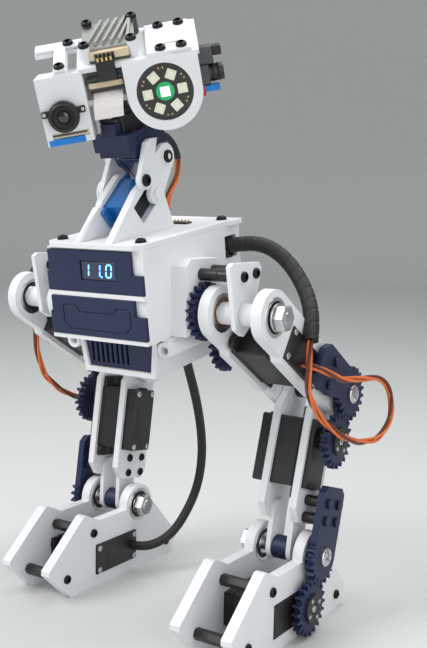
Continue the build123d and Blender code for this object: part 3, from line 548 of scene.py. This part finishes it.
def big_servo(name, matrix, body, node, spline_top, base=0):
    """Standard servo: three shells with seams, ears with screws, corner screws, lead grommet.

    base is the height of its underside; a negative one makes the case deeper than the CAD node.
    """
    shape = Shape()
    for low, high in ((base, 8.2), (8.7, 27.6), (28.1, 37)):
        shape.box(matrix, (-10.2, -9.85, low), (30.5, 9.85, high), BLACK, 0.7)
    for low in (8.0, 27.4):
        shape.box(matrix, (-9.95, -9.6, low), (30.25, 9.6, low + 0.9), RUBBER, 0.05)
    for low, high, at in ((-17.1, -10.0, -14.3), (30.3, 37.4, 34.6)):
        shape.box(matrix, (low, -9.85, 27), (high, 9.85, 29.5), BLACK, 0.6)
        for y in (-5, 5):
            shape.ring(matrix @ move(at, y, 0), 1.3, 3.0, 26.6, 29.9, RUBBER)
            shape.head(matrix @ move(at, y, 29.9), 2.4, 1.3, "cross", BLACK_STEEL)
    shape.lathe(matrix, [(6.5, 36.9), (6.5, 37.9), (6.1, 38.2), (0, 38.2)], BLACK)
    shape.lathe(matrix, [(2.9, 38.1), (2.9, spline_top - 0.3), (2.6, spline_top), (0, spline_top)], STEEL, 24)
    for x in (-7.6, 27.9):
        for y in (-7.3, 7.3):
            at = matrix @ move(x, y, base + 0.15) @ Matrix.Rotation(pi, 4, "X")
            shape.head(at, 1.9, 0.75, "cross", STEEL)
    shape.box(matrix, (-11.6, -3.0, 1.2), (-10.0, 3.0, 4.6), RUBBER, 0.4)
    shape.box(matrix, (0.5, -6.2, base - 0.12), (20, 6.2, base + 0.1), BLACK, 0.05)
    shape.make(name, "black_plastic", body, [node])


def servo_frame(side, centre, bottom_x, outwards, along):
    """Frame of a servo on a leg: Z along its output, X along its case."""
    sign = SIDES[side]
    out = sign if outwards else -sign
    origin = Vector((sign * bottom_x, centre[0], centre[1])) * MM
    x_dir, z_dir = Vector((0, cos(along), sin(along))), Vector((out, 0, 0))
    turn = Matrix((x_dir, z_dir.cross(x_dir), z_dir)).transposed().to_4x4()
    return Matrix.Translation(origin) @ turn @ Matrix.Scale(MM, 4)


# ---------------------------------------------------------------- legs
# distances from the middle plane, in millimetres
INNER_BEARING_X, OUTER_BEARING_X = 51, 84.4
GEAR_FACE_X = 98.5         # outer faces of the knee and ankle gears
HIP_GEAR_FACE_X = 48.5
BEARING_WIDTH = 7


def side_view(joint):
    """A joint's centre (y, z) in millimetres."""
    x, y, z = JOINTS[joint]["pos_m"]
    return y / MM, z / MM


def nut(shape, matrix, low, high, mat):
    """Chamfered M8 nut."""
    corners = [(7.5 * cos(pi / 3 * k), 7.5 * sin(pi / 3 * k)) for k in range(6)]
    shape.prism(matrix, corners, low, high, mat, 0.7)


def threaded(shape, matrix, r, low, high, mat):
    """Bolt end with ring grooves for its thread."""
    pitch = 1.25
    profile = [(0, low)]
    z = low
    while z < high - pitch:
        profile += [(r - 0.45, z), (r, z + pitch / 2)]
        z += pitch
    profile += [(r - 0.45, high - 0.2), (0, high)]
    shape.lathe(matrix, profile, mat, 28)


def ball_bearing(shape, matrix, low, cage):
    """Races, a recessed shield and a chamfered bore, from low up over the bearing's width."""
    high = low + BEARING_WIDTH
    shield_low, shield_high = low + 0.45, high - 0.45
    shape.lathe(matrix, [(8.9, low), (10.7, low), (11, low + 0.3), (11, high - 0.3), (10.7, high),
                         (8.9, high), (8.9, low)], STEEL, 56)
    shape.lathe(matrix, [(6.2, shield_low), (8.95, shield_low), (8.95, shield_high), (6.2, shield_high),
                         (6.2, shield_low)], cage, 48)
    shape.lathe(matrix, [(4.06, low), (6.0, low), (6.25, low + 0.25), (6.25, high - 0.25), (6.0, high),
                         (4.06, high), (4.06, low)], STEEL, 40)


def leg(side):
    """Servos, bearings, bolts, screws, horns and foot rods of one leg."""
    hip, knee, ankle = side_view("hip_" + side), side_view("knee_" + side), side_view("ankle_" + side)
    hip_pinion = side_view("hip_pinion_turn_" + side)
    knee_pinion = side_view("knee_pinion_turn_" + side)
    ankle_pinion = side_view("ankle_pinion_turn_" + side)
    thigh_turn = atan2(knee[1] - hip[1], knee[0] - hip[0])
    shin_turn = atan2(ankle[1] - knee[1], ankle[0] - knee[0])

    def on_thigh(along, below):
        return (hip[0] + along * cos(thigh_turn) + below * sin(thigh_turn),
                hip[1] + along * sin(thigh_turn) - below * cos(thigh_turn))

    def on_shin(along, ahead):
        return (knee[0] + along * cos(shin_turn) + ahead * sin(shin_turn),
                knee[1] + along * sin(shin_turn) - ahead * cos(shin_turn))

    thigh, shin, foot = "thigh_" + side, "shin_" + side, "foot_" + side
    big_servo("thigh_motor_" + side, servo_frame(side, hip_pinion, 88.7, False, thigh_turn), thigh,
              "thigh_servo_" + side, 43, -3.8)
    big_servo("shin_motor_" + side, servo_frame(side, knee_pinion, 50.1, True, shin_turn), shin,
              "shin_servo_" + side, 47.9)
    big_servo("foot_motor_" + side, servo_frame(side, ankle_pinion, 54.9, True, pi), foot,
              "foot_servo_" + side, 43, -5)

    shape = Shape()
    for centre in (hip, knee):
        ball_bearing(shape, side_axis(side, 0, centre), INNER_BEARING_X, BRASS if centre == hip else RUBBER)
        ball_bearing(shape, side_axis(side, 0, centre), OUTER_BEARING_X, RUBBER)
    shape.make("thigh_ball_bearings_" + side, "steel", thigh, ["thigh_bearings_" + side])
    shape = Shape()
    for low in (INNER_BEARING_X, OUTER_BEARING_X):
        ball_bearing(shape, side_axis(side, 0, ankle), low, RUBBER)
    shape.make("foot_ball_bearings_" + side, "steel", foot, ["foot_bearings_" + side])

    shape = Shape()
    for centre, head_x in ((knee, 98.8), (ankle, 98.52)):
        axis = side_axis(side, 0, centre)
        threaded(shape, axis, 4.0, 44, 51, STEEL)
        nut(shape, axis, 44.6, 50.7, STEEL)
        shape.rod(axis, 4.0, 50.9, head_x, STEEL)
        shape.head(side_axis(side, head_x, centre), 5.5, 2.6, "cross", STEEL)
    shape.ring(side_axis(side, 0, knee), 4.0, 6.0, 62.85, 79.5, BLACK)
    shape.ring(side_axis(side, 0, ankle), 4.02, 7.0, 66, 76.4, NAVY)
    shape.ring(side_axis(side, 0, ankle), 4.02, 6.4, 91.42, 93.9, STEEL)
    shape.make("leg_bolts_" + side, "steel", shin, ["shin_axles_" + side])

    # spacers and screws of the knee gear, the ankle gear and the shin's tongues
    shape = Shape()
    for centre in (on_thigh(64.5, -6.2), on_thigh(64.5, 8.6)):
        shape.ring(side_axis(side, 0, centre), 1.5, 3.35, 88.85, 93.95, BLACK)
        shape.head(side_axis(side, GEAR_FACE_X, centre), 2.9, 2.0, "hex", BLACK_STEEL)
    shape.make("knee_gear_screws_" + side, "black_steel", thigh)
    shape = Shape()
    for along in (66, 76):
        for over in (-6.5, 6.5):
            centre = on_shin(along, over)
            shape.ring(side_axis(side, 0, centre), 1.5, 3.15, 84.05, 93.95, BLACK)
            shape.head(side_axis(side, GEAR_FACE_X, centre), 2.9, 2.0, "hex", BLACK_STEEL)
            shape.head(side_axis(side, 58.4, centre, False), 2.6, 1.6, "hex", BLACK_STEEL)
    shape.make("ankle_link_screws_" + side, "black_steel", shin)

    # horns of the pinions
    for joint, centre, face_x in (("knee", knee_pinion, GEAR_FACE_X), ("ankle", ankle_pinion, GEAR_FACE_X),
                                  ("hip", hip_pinion, HIP_GEAR_FACE_X)):
        shape = Shape()
        axis = side_axis(side, face_x, centre)
        shape.lathe(axis, [(3.0, -0.02), (8.6, -0.02), (8.62, 0.3), (8.62, 1.55), (8.3, 1.86), (3.0, 1.86),
                           (3.0, -0.02)], BLACK, 48)
        if joint != "hip":
            shape.lathe(axis, [(0, 1.0), (3.02, 1.0), (3.02, 1.87)], BLACK_STEEL)
            shape.head(axis @ move(0, 0, 1.0), 2.2, 1.2, "cross", STEEL)
            for k in range(4):
                at = Matrix.Rotation(k * pi / 2 + 0.5, 4, "Z") @ move(6.2, 0, 1.8)
                shape.head(axis @ at, 1.25, 0.6, "cross", STEEL)
        shape.make(joint + "_horn_" + side, "black_plastic", joint + "_pinion_" + side)

    # rods between the foot plates
    shape = Shape()
    for centre in ((ankle[0] - 72, 13), (ankle[0] - 47, 36), (ankle[0] + 31, 9.5)):
        axis = side_axis(side, 0, centre)
        corners = [(3.5 * cos(pi / 3 * k), 3.5 * sin(pi / 3 * k)) for k in range(6)]
        shape.prism(axis, corners, 58.05, 84.35, BLACK, 0.3)
        shape.rod(axis, 1.5, 51.3, 91.1, BLACK_STEEL)
        shape.head(side_axis(side, 51.4, centre, False), 2.8, 2.0, "hex", BLACK_STEEL)
        shape.head(side_axis(side, 91, centre), 2.8, 2.0, "hex", BLACK_STEEL)
    shape.make("foot_spacers_" + side, "black_steel", foot, ["foot_rods_" + side])


for side in SIDES:
    leg(side)

# ---------------------------------------------------------------- hips
hip_centre = side_view("hip_left")
spacers, bolts = Shape(), Shape()
for side in SIDES:
    for centre in ((hip_centre[0] - 1.5, hip_centre[1] + 20.5), (hip_centre[0] + 10.5, hip_centre[1] + 22)):
        axis = side_axis(side, 0, centre)
        spacers.ring(axis, 1.5, 3.4, 43.84, 56, BLACK)
        spacers.ring(axis, 1.5, 3.4, 56.1, 68.5, BLACK)
        spacers.head(side_axis(side, 71.5, centre), 2.9, 2.2, "hex", BLACK_STEEL)
    axis = side_axis(side, 0, hip_centre)
    bolts.rod(axis, 4.0, 36, 93, STEEL)
    threaded(bolts, axis, 4.0, 92, 99.2, STEEL)
    bolts.ring(axis, 4.0, 7.8, 91.8, 93, STEEL)
    nut(bolts, axis, 93.05, 98.6, STEEL)
    bolts.ring(axis, 4.0, 7.5, 48.52, 50.6, WHITE)
    bolts.ring(axis, 4.02, 6.2, 58.1, 68.4, WHITE)
    bolts.ring(axis, 4.02, 6.2, 71.6, 84.3, WHITE)
spacers.make("hip_spacer_rods", "black_steel", "torso", ["hip_spacers"])
bolts.make("hip_bolts", "steel", "torso", ["hip_axles"])

# ---------------------------------------------------------------- torso
TORSO_PITCH = radians(8.8)
TORSO = local_frame((0, -72 + SHIFT_Y, 221.7), (1, 0, 0), (0, -sin(TORSO_PITCH), cos(TORSO_PITCH)))
FRONT = TORSO @ Matrix.Rotation(pi / 2, 4, "X")
TORSO_HALF, TORSO_DEPTH = 33.6, 96.0       # half the width, and the depth

shape = Shape()
for x in (-TORSO_HALF + 6, TORSO_HALF - 6):
    for y in (9, TORSO_DEPTH - 9):
        at = TORSO @ move(x, y, 3.02)
        shape.ring(at, 1.2, 3.3, 0, 0.4, BLACK_STEEL, 0.1)
        shape.head(at @ move(0, 0, 0.35), 2.9, 2.0, "hex", BLACK_STEEL)
shape.make("lid_cap_screws", "black_steel", "torso", ["lid_screws"])


def seven_segments(shape, matrix, left, low, tall, digit, dot, mat):
    """One lit digit in the plane z = 0, with its decimal point."""
    wide, bar = tall * 0.52, tall * 0.13
    lit = {"0": "abcdef", "1": "bc"}[digit]
    half = tall / 2
    bars = {"a": (0, tall, 1), "d": (0, 0, 1), "f": (0, half, 0), "e": (0, 0, 0), "b": (wide, half, 0),
            "c": (wide, 0, 0)}
    lean, gap = 0.12, bar * 0.35
    for key in lit:
        x, y, flat = bars[key]
        if flat:
            corners = [(x + gap, y - bar / 2), (x + wide - gap, y - bar / 2), (x + wide - gap, y + bar / 2),
                       (x + gap, y + bar / 2)]
        else:
            corners = [(x - bar / 2, y + gap), (x + bar / 2, y + gap), (x + bar / 2, y + half - gap),
                       (x - bar / 2, y + half - gap)]
        corners = [(left + cx + lean * cy, low + cy) for cx, cy in corners]
        shape.prism(matrix, cut_corners(corners, bar * 0.3), 0, 0.16, mat, 0.03)
    if dot:
        x = left + wide + 1.5 * bar
        point = [(0, 0), (bar * 0.6, 0), (bar * 0.6, 0.16), (0, 0.16)]
        shape.lathe(matrix @ move(x, low, 0), point, mat, 16)


shape = Shape()
shape.box(FRONT, (-9, -17.5, -1.9), (16, -6.5, -1.0), PCB_BLACK, 0.1)
shape.box(FRONT, (-8.2, -17, -1.2), (15.2, -7.0, -0.45), WINDOW, 0.25)
digits_at = FRONT @ move(0, 0, -0.48)
for k, (digit, dot) in enumerate((("1", False), ("1", True), ("0", False))):
    seven_segments(shape, digits_at, -7.2 + 7.9 * k, -15.3, 6.8, digit, dot, BLUE_GLOW)
shape.make("display_digits", "display", "torso", ["display_module"])

# lid fittings: a pin header and a red lamp behind the neck
shape = Shape()
header = TORSO @ move(10, 70, 3.05)
shape.box(header, (-6.5, -2.6, 0), (6.5, 2.6, 0.9), BLACK, 0.2)
for k in range(5):
    for row in (-1.27, 1.27):
        x = -5.08 + 2.54 * k
        shape.box(header, (x - 0.32, row - 0.32, 0.8), (x + 0.32, row + 0.32, 2.2), GOLD, 0.1)
lamp_at = TORSO @ move(-6, 66, 3.05)
shape.box(lamp_at, (-2.5, -1.75, 0), (2.5, 1.75, 0.8), CREAM, 0.15)
shape.box(lamp_at, (-1.4, -1.2, 0.7), (1.4, 1.2, 1.5), RED_GLOW, 0.2)
shape.make("lid_header_and_lamp", "black_plastic", "torso")

# cable outlets in the flanks have a dark liner behind the loom
shape = Shape()
for sign in (-1, 1):
    at = TORSO @ move(sign * 30.4, 86, -12.5) @ Matrix.Rotation(sign * pi / 2, 4, "Y")
    shape.lathe(at, [(5.1, 0), (6.0, 0), (6.2, 0.3), (6.2, 3.3), (5.1, 3.3), (5.1, 0)], RUBBER)
shape.make("outlet_grommets", "cable", "torso")

# ---------------------------------------------------------------- neck
LEAN = radians(19)
J1, J2 = side_view("neck_lower"), side_view("neck_upper")
pan_axis = Vector(JOINTS["head_pan"]["axis"])
PAN_MM = Vector(JOINTS["head_pan"]["pos_m"]) / MM
BRACKET = local_frame((0, J2[0], J2[1]), (1, 0, 0), pan_axis)
HEAD_TURN = radians(35)
bracket_y = pan_axis.cross(Vector((1, 0, 0)))
HEAD = local_frame(PAN_MM, Vector((1, 0, 0)) * cos(HEAD_TURN) + bracket_y * sin(HEAD_TURN), pan_axis)

micro_servo("neck_motor", servo_frame("left", J1, 10.7, False, pi + TORSO_PITCH + radians(37.4)), "torso",
            "neck_servo", BLUE, "blue_plastic")
# the tilt servo has the same blue case as the neck servo; its darker colour is painted shade
micro_servo("tilt_motor", servo_frame("left", J2, 9.2, False, LEAN - radians(50)), "neck_bracket",
            "tilt_servo", BLUE_WITH_PAINTED_SHADE, "blue_plastic")
pan_frame = local_frame(PAN_MM - pan_axis * 29, bracket_y, pan_axis)
micro_servo("pan_motor", pan_frame, "neck_bracket", "pan_servo", BLACK, "blue_plastic")


def torso_side(y, z):
    """Side-view point of a point of the torso's frame."""
    p = TORSO @ Vector((0, y, z))
    return p.y / MM, p.z / MM


shape = Shape()
lobe = torso_side(31, 33)
shape.head(side_axis("left", 17.25, lobe), 3.4, 2.0, "hex", BLACK_STEEL)
shape.ring(side_axis("left", 17.2, J2), 1.6, 4.4, 0, 0.8, WHITE, 0.2)
shape.head(side_axis("left", 17.9, J2), 3.6, 2.2, "hex", BLACK_STEEL)
shape.ring(side_axis("left", 17.2, J1), 1.7, 3.4, 0, 2.1, WHITE, 0.3)
for centre, x in ((J1, 19.2), (J2, 20.4)):
    shape.head(side_axis("right", x, centre), 2.6, 1.4, "cross", STEEL)
    for k in range(3):
        at = side_axis("right", x, centre) @ Matrix.Rotation(k * 2 * pi / 3, 4, "Z")
        shape.head(at @ move(7.0, 0, 0), 0.9, 0.5, "cross", STEEL)
shape.make("neck_screws", "black_steel", "neck_link")

shape = Shape()
for x, y in ((-8.6, -15), (8.6, -15), (-8.6, 6.6), (8.6, 6.6)):
    shape.head(BRACKET @ move(x, y, 18.4), 1.6, 1.0, "hex", BLACK_STEEL)
shape.box(BRACKET, (-12.9, -16, 7.5), (-12.38, 2, 15.5), NAVY, 0.15)
shape.box(BRACKET, (12.38, -16, 7.5), (12.9, 2, 15.5), NAVY, 0.15)
shape.make("bracket_screws", "black_steel", "neck_bracket")

# ---------------------------------------------------------------- head
EYE = (27.8, -0.5)         # centres across and up the face
LENS = (-27.3, -3.7)
FACE_Y = -15.4
CHEEK = 47.6               # outer face of the left cheek
TOP_U = EYE[1] + 18.3      # front edge of the roof
SLOPE = radians(21)
ROOF = HEAD @ move(0, FACE_Y, TOP_U) @ Matrix.Rotation(SLOPE, 4, "X")
FACE = HEAD @ move(0, FACE_Y, 0) @ Matrix.Rotation(pi / 2, 4, "X")


def lamp_eye():
    """Round board with six square lamps round a lit one."""
    shape = Shape()
    centre = FACE @ move(EYE[0], EYE[1], 0)
    shape.lathe(centre, [(0, -4.2), (16.5, -4.2), (16.5, -2.7), (0, -2.7)], PCB_BLACK, 64)
    # faint glowing disc round the lit lamp: painted light of the lamp on the board
    shape.lathe(centre, [(0, -2.72), (4.9, -2.72), (4.9, -2.6), (0, -2.6)], GREEN_LIGHT_POOL_PAINTED, 32)
    shape.box(centre, (-2.7, -2.7, -2.7), (2.7, 2.7, -1.2), LAMP, 0.2)
    shape.box(centre, (-2.2, -2.2, -1.3), (2.2, 2.2, -1.0), GREEN_GLOW, 0.4)
    for k in range(6):
        turn = pi / 3 * k + radians(28)
        at = centre @ Matrix.Rotation(-turn, 4, "Z") @ move(0, 9.4, 0)
        shape.box(at, (-2.6, -2.6, -2.7), (2.6, 2.6, -1.2), LAMP, 0.25)
        shape.lathe(at, [(1.95, -1.22), (1.95, -1.12), (1.6, -1.3), (0, -1.32)], LAMP_CORE, 24)
        at = centre @ Matrix.Rotation(-turn - pi / 6, 4, "Z") @ move(0, 12.4, 0)
        shape.box(at, (-0.9, -0.5, -2.7), (0.9, 0.5, -2.0), GREY, 0.1)
        shape.box(at, (-1.5, -0.5, -2.7), (-0.85, 0.5, -2.1), GOLD, 0.05)
        shape.box(at, (0.85, -0.5, -2.7), (1.5, 0.5, -2.1), GOLD, 0.05)
    shape.make("lamp_eye_board", "circuit_board", "head", ["led_eye"])


def camera_piece():
    """Fisheye camera: board, holder with two lugs, stepped barrel, glass dome."""
    shape = Shape()
    centre = FACE @ move(LENS[0], LENS[1], 0)
    shape.box(centre, (-9.1, -10, -7.4), (9.1, 11, -6.0), PCB, 0.15)
    shape.box(centre, (-7, -6, -6), (7, 6, -2.6), BLACK, 0.4)
    for sign in (-1, 1):
        lug = sign * 9.6
        shape.box(centre, (lug - 2.2, 2.2 - 1.8, -0.02), (lug + 2.2, 2.2 + 1.8, 1.6), BLACK, 0.3)
        shape.head(centre @ move(sign * 10.4, 2.2, 1.5), 1.0, 0.5, "cross", STEEL)
    shape.lathe(centre, [(7.3, -3), (7.3, 0.2), (8.2, 0.5), (8.4, 1.0), (8.4, 3.6), (8.0, 4.1), (7.5, 4.2),
                         (7.4, 5.6), (6.9, 6.0), (6.1, 6.0)], BLACK, 64)
    shape.lathe(centre, [(6.1, 6.0), (5.7, 5.1), (3.4, 4.2)], LENS_BLACK, 48)
    shape.lathe(centre, [(3.5, 4.1), (3.2, 4.6), (2.4, 5.1), (1.3, 5.35), (0, 5.45)], GLASS, 48)
    shape.make("camera_lens", "black_plastic", "head", ["camera_module"])

    shape = Shape()
    slot_u = EYE[1] - 18.4 + 4.9
    shape.box(FACE, (-38.2, slot_u - 1.35, -6), (-15.2, slot_u + 1.35, -0.6), CREAM, 0.25)
    shape.box(FACE, (-36, slot_u - 0.2, -0.7), (-17, slot_u + 0.9, -0.35), GREY, 0.08)
    shape.box(FACE, (-38.4, slot_u - 4.9, -2.0), (-18.5, slot_u - 1.5, 0.35), BLUE_TAB, 0.25)
    shape.make("camera_ribbon_connector", "circuit_board", "head")


def cooler():
    """Finned cooler on four posts, its circuit board, header block and small connectors."""
    shape = Shape()
    low, high = -11.5, 16.5
    shape.box(ROOF, (low, 6.5, 6.4), (high, 34, 7.8), COOLER, 0.3)
    for k in range(9):
        start = low - 2 + 4.3 * k
        corners = [(max(low + 0.6, start), 8.2), (min(high - 0.6, start + 1.5), 8.2),
                   (min(high - 0.6, start + 9.5), 32.6), (min(high - 2, max(low + 0.6, start + 8.0)), 32.6)]
        if corners[1][0] - corners[0][0] > 0.8 and corners[2][0] - corners[3][0] > 0.8:
            shape.prism(ROOF, corners, 7.6, 10.4, COOLER, 0.2)
    for x, y in ((low + 1.5, 7.5), (high - 1.5, 7.5), (low + 3, 32), (high - 0.5, 32)):
        post = ROOF @ move(x, y, 0)
        shape.rod(post, 2.7, -0.4, 9.2, GREY if y > 20 else WHITE)
        shape.head(post @ move(0, 0, 9.2), 2.9, 2.4, "hex", BLACK_STEEL)
    shape.box(ROOF, (low + 3, 4.6, 0.1), (high - 3.5, 32, 1.7), PCB, 0.15)
    shape.box(ROOF, (low + 3.4, 4.2, 1.7), (high - 3.8, 11, 6.3), CREAM, 0.3)
    for k in range(5):
        for row in range(2):
            x = -4.6 + 2.2 * k
            shape.box(ROOF, (x - 0.8, 3.2, 4.0 - 1.9 * row), (x + 0.8, 4.4, 5.5 - 1.9 * row), BLACK, 0.15)
    # receiver block, knob and coloured tabs outside the left cheek
    wall = CHEEK + 0.05
    shape.box(HEAD, (wall, -7, 8.6), (wall + 8.2, 5, 18), GREY, 0.5)
    shape.box(HEAD, (wall + 8.1, -6, 12.5), (wall + 13, 4, 17.6), BLACK, 0.5)
    shape.box(HEAD, (wall, -8, -1.8), (wall + 5, 6, 8.4), GREY, 0.4)
    barrel = HEAD @ move(wall + 1, -3, 3.6) @ Matrix.Rotation(pi / 2, 4, "Y")
    shape.lathe(barrel, [(0, 0), (4.6, 0), (4.6, 11.2), (4.2, 11.8), (0, 11.8)], BLACK)
    for k in range(3):
        shape.ring(barrel, 4.4, 4.85, 2.5 + 3 * k, 3.3 + 3 * k, BLACK_STEEL, 0.1)
    shape.box(HEAD, (wall + 1.2, -7.6, -5.6), (wall + 9.5, -1, -2.2), BLUE_TAB, 0.3)
    shape.box(HEAD, (wall, -8, -7.4), (wall + 1.5, 0, -1.8), RED, 0.3)
    shape.make("head_cooler_and_receiver", "cooler", "head", ["head_electronics"])


def head_trim():
    """Roof plates with their screws, the left strip, the header block and the ribbon behind the face."""
    shape = Shape()
    shape.box(ROOF, (21.5, 1.2, 0.03), (45.4, 33.5, 2.2), WHITE_PLATE, 0.3)
    shape.box(ROOF, (29.5, 9, 2.1), (39.5, 26, 2.9), WHITE_PLATE, 0.3)
    for x, y in ((29.2, 4.6), (40.4, 4.6), (29.2, 30.0), (40.4, 30.0)):
        shape.head(ROOF @ move(x, y, 2.2), 2.9, 2.3, "hex", BLACK_STEEL)
    shape.box(ROOF, (-28.2, 1.4, 0.03), (-21.9, 25.4, 1.8), WHITE_PLATE, 0.3)
    shape.box(ROOF, (-38.9, 25.3, 0.03), (-14.5, 32.6, 1.8), WHITE_PLATE, 0.3)
    for x, y in ((-25, 4.4), (-20.5, 29)):
        shape.head(ROOF @ move(x, y, 1.8), 2.9, 2.2, "hex", BLACK_STEEL)
    shape.make("roof_plates", "white_plastic", "head")

    shape = Shape()
    shape.box(HEAD, (-13.4, -9.2, 10.2), (6.6, 4, 11.8), PCB, 0.1)
    shape.box(HEAD, (-12.0, -10.2, 6.6), (6.5, 2, 9.6), CREAM, 0.3)
    shape.box(HEAD, (-5.6, -15.6, 10.4), (4.4, -7, 20.6), BLACK, 0.4)
    for k in range(4):
        x = -4.6 + 2.3 * k
        shape.box(HEAD, (x, -15.9, 20.5), (x + 1.3, -14.2, 22.4), GOLD, 0.1)
    shape.box(HEAD, (3.4, -11, 14), (7.4, -5, 17.5), BLACK, 0.3)
    shape.make("head_boards", "circuit_board", "head")

    # ribbon cable that folds down behind the face
    shape = Shape()
    profile, ribs = [], 26
    for k in range(ribs + 1):
        turn = pi * 1.15 * k / ribs
        profile.append((-9.4 + 5.2 * cos(turn) - 1.5 * k / ribs, 6.4 * sin(turn) - 5.5 * k / ribs))
    points, faces = [], []
    for y, z in profile:
        for x in (-11.5, 4.2):
            for out in (0.0, 0.5):
                points.append((x + 0.14 * (z + 6), y, z - out))
    for k in range(ribs):
        a, b = 4 * k, 4 * k + 4
        faces += [(a, a + 2, b + 2, b), (a + 1, b + 1, b + 3, a + 3), (a, b, b + 1, a + 1),
                  (a + 2, a + 3, b + 3, b + 2)]
    faces += [(0, 1, 3, 2), (4 * ribs, 4 * ribs + 2, 4 * ribs + 3, 4 * ribs + 1)]
    shape.add(HEAD, points, faces, RIBBON)
    shape.make("head_ribbon", "circuit_board", "head")


lamp_eye()
camera_piece()
cooler()
head_trim()

# ---------------------------------------------------------------- CAD nodes that stay
PLATES = ("thigh_plates", "shin_plates", "foot_plates", "hip_ear_plates", "neck_links", "neck_base_plates")
NAVY_WORDS = ("panel", "gear", "pinion", "link", "bracket", "grille")
EDGE = 0.00035             # width of the softened rims, metres
SAME_LEVEL = 0.00002       # a corner this close to a level is on it


def dress(piece, mat):
    """Finish in every material slot, and softened rims."""
    if len(piece.data.materials) == 0:
        piece.data.materials.append(mat)
    for slot in piece.material_slots:
        slot.material = mat
    weld = piece.modifiers.new("weld", "WELD")
    weld.merge_threshold = 1e-6
    rim = piece.modifiers.new("rim", "BEVEL")
    rim.width = EDGE
    rim.segments = 2
    rim.limit_method = "ANGLE"
    rim.angle_limit = radians(38)


def full_depth_plates(node_name, body, levels):
    """Plates as thick as the bearings in them: each level of |x| in millimetres moves to its new one."""
    node = NODES[node_name]
    mesh = bmesh.new()
    mesh.from_mesh(node.data)
    mesh.transform(node.matrix_world)
    for vertex in mesh.verts:
        for old, new in levels:
            if abs(abs(vertex.co.x) - old * MM) < SAME_LEVEL:
                vertex.co.x = new * MM * (1 if vertex.co.x > 0 else -1)
                break
    bmesh.ops.remove_doubles(mesh, verts=mesh.verts, dist=1e-6)
    bmesh.ops.dissolve_degenerate(mesh, edges=mesh.edges, dist=1e-6)
    data = bpy.data.meshes.new(node_name + "_full")
    mesh.to_mesh(data)
    mesh.free()
    piece = bpy.data.objects.new(node_name + "_full", data)
    show(piece)
    dress(piece, WHITE_PLATE)
    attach(piece, body)
    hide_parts(node_name)


THIGH_LEVELS = ((53.6, 51.4), (88.8, 91))
FOOT_LEVELS = ((55, 51.4), (59.4, 58), (88.8, 91))
for side in SIDES:
    full_depth_plates("thigh_plates_" + side, "thigh_" + side, THIGH_LEVELS)
    full_depth_plates("foot_plates_" + side, "foot_" + side, FOOT_LEVELS)

for name, node in NODES.items():
    if node.hide_render:
        continue
    if name.startswith(PLATES):
        mat = WHITE_PLATE
    elif any(word in name for word in NAVY_WORDS):
        mat = NAVY
    elif "battery" in name:
        mat = BLACK
    else:
        mat = WHITE
    dress(node, mat)

# ---------------------------------------------------------------- room and light
floor_mat = material("floor", (0.62, 0.63, 0.62), 0.6, grain=(120, 0.00005), vary=0.02)
FLAT_R, SWEEP_R, RIM_Z, SECTORS = 2.6, 0.5, 1.3, 96     # disc, upward sweep and rim, metres
profile = [(FLAT_R * k / 4, 0.0) for k in range(1, 5)]
profile += [(FLAT_R + SWEEP_R * sin(pi / 24 * k), SWEEP_R * (1 - cos(pi / 24 * k))) for k in range(1, 13)]
profile += [(FLAT_R + SWEEP_R, RIM_Z)]
points, faces = [(0, 0, 0)], [(0, 1 + k, 1 + (k + 1) % SECTORS) for k in range(SECTORS)]
for r, z in profile:
    points += [(r * cos(2 * pi * k / SECTORS), r * sin(2 * pi * k / SECTORS), z) for k in range(SECTORS)]
for ring in range(len(profile) - 1):
    a, b = 1 + ring * SECTORS, 1 + (ring + 1) * SECTORS
    faces += [(a + k, b + k, b + (k + 1) % SECTORS, a + (k + 1) % SECTORS) for k in range(SECTORS)]
mesh = bpy.data.meshes.new("floor")
mesh.from_pydata(points, [], faces)
mesh.materials.append(floor_mat)
mesh.polygons.foreach_set("use_smooth", [True] * len(mesh.polygons))
floor = bpy.data.objects.new("floor", mesh)
show(floor)
floor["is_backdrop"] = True

world = bpy.data.worlds.new("room")
bpy.context.scene.world = world
world.use_nodes = True
world.node_tree.nodes["Background"].inputs["Color"].default_value = (0.80, 0.83, 0.85, 1)
world.node_tree.nodes["Background"].inputs["Strength"].default_value = 0.62


def soft_box(name, place, target, size, power):
    """Rectangular lamp that faces the target."""
    data = bpy.data.lights.new(name, "AREA")
    data.shape = "RECTANGLE"
    data.size, data.size_y = size
    data.energy = power
    lamp = bpy.data.objects.new(name, data)
    lamp.location = place
    lamp.rotation_euler = (Vector(target) - Vector(place)).to_track_quat("-Z", "Y").to_euler()
    show(lamp)


CENTRE = (0, 0, 0.17)
soft_box("key", (-0.55, -0.75, 0.95), CENTRE, (0.7, 0.7), 10.5)
soft_box("fill", (0.95, -0.55, 0.45), CENTRE, (0.9, 0.9), 4)
soft_box("top", (0.15, 0.25, 1.2), CENTRE, (0.9, 0.9), 8)
bpy.context.scene.view_settings.view_transform = "Standard"

bpy.context.view_layer.update()
visual_box = [list(corner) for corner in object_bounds()]
({"cad": [[float(v) for v in corner] for corner in cad_box],
           "visual": [[float(v) for v in corner] for corner in visual_box]})
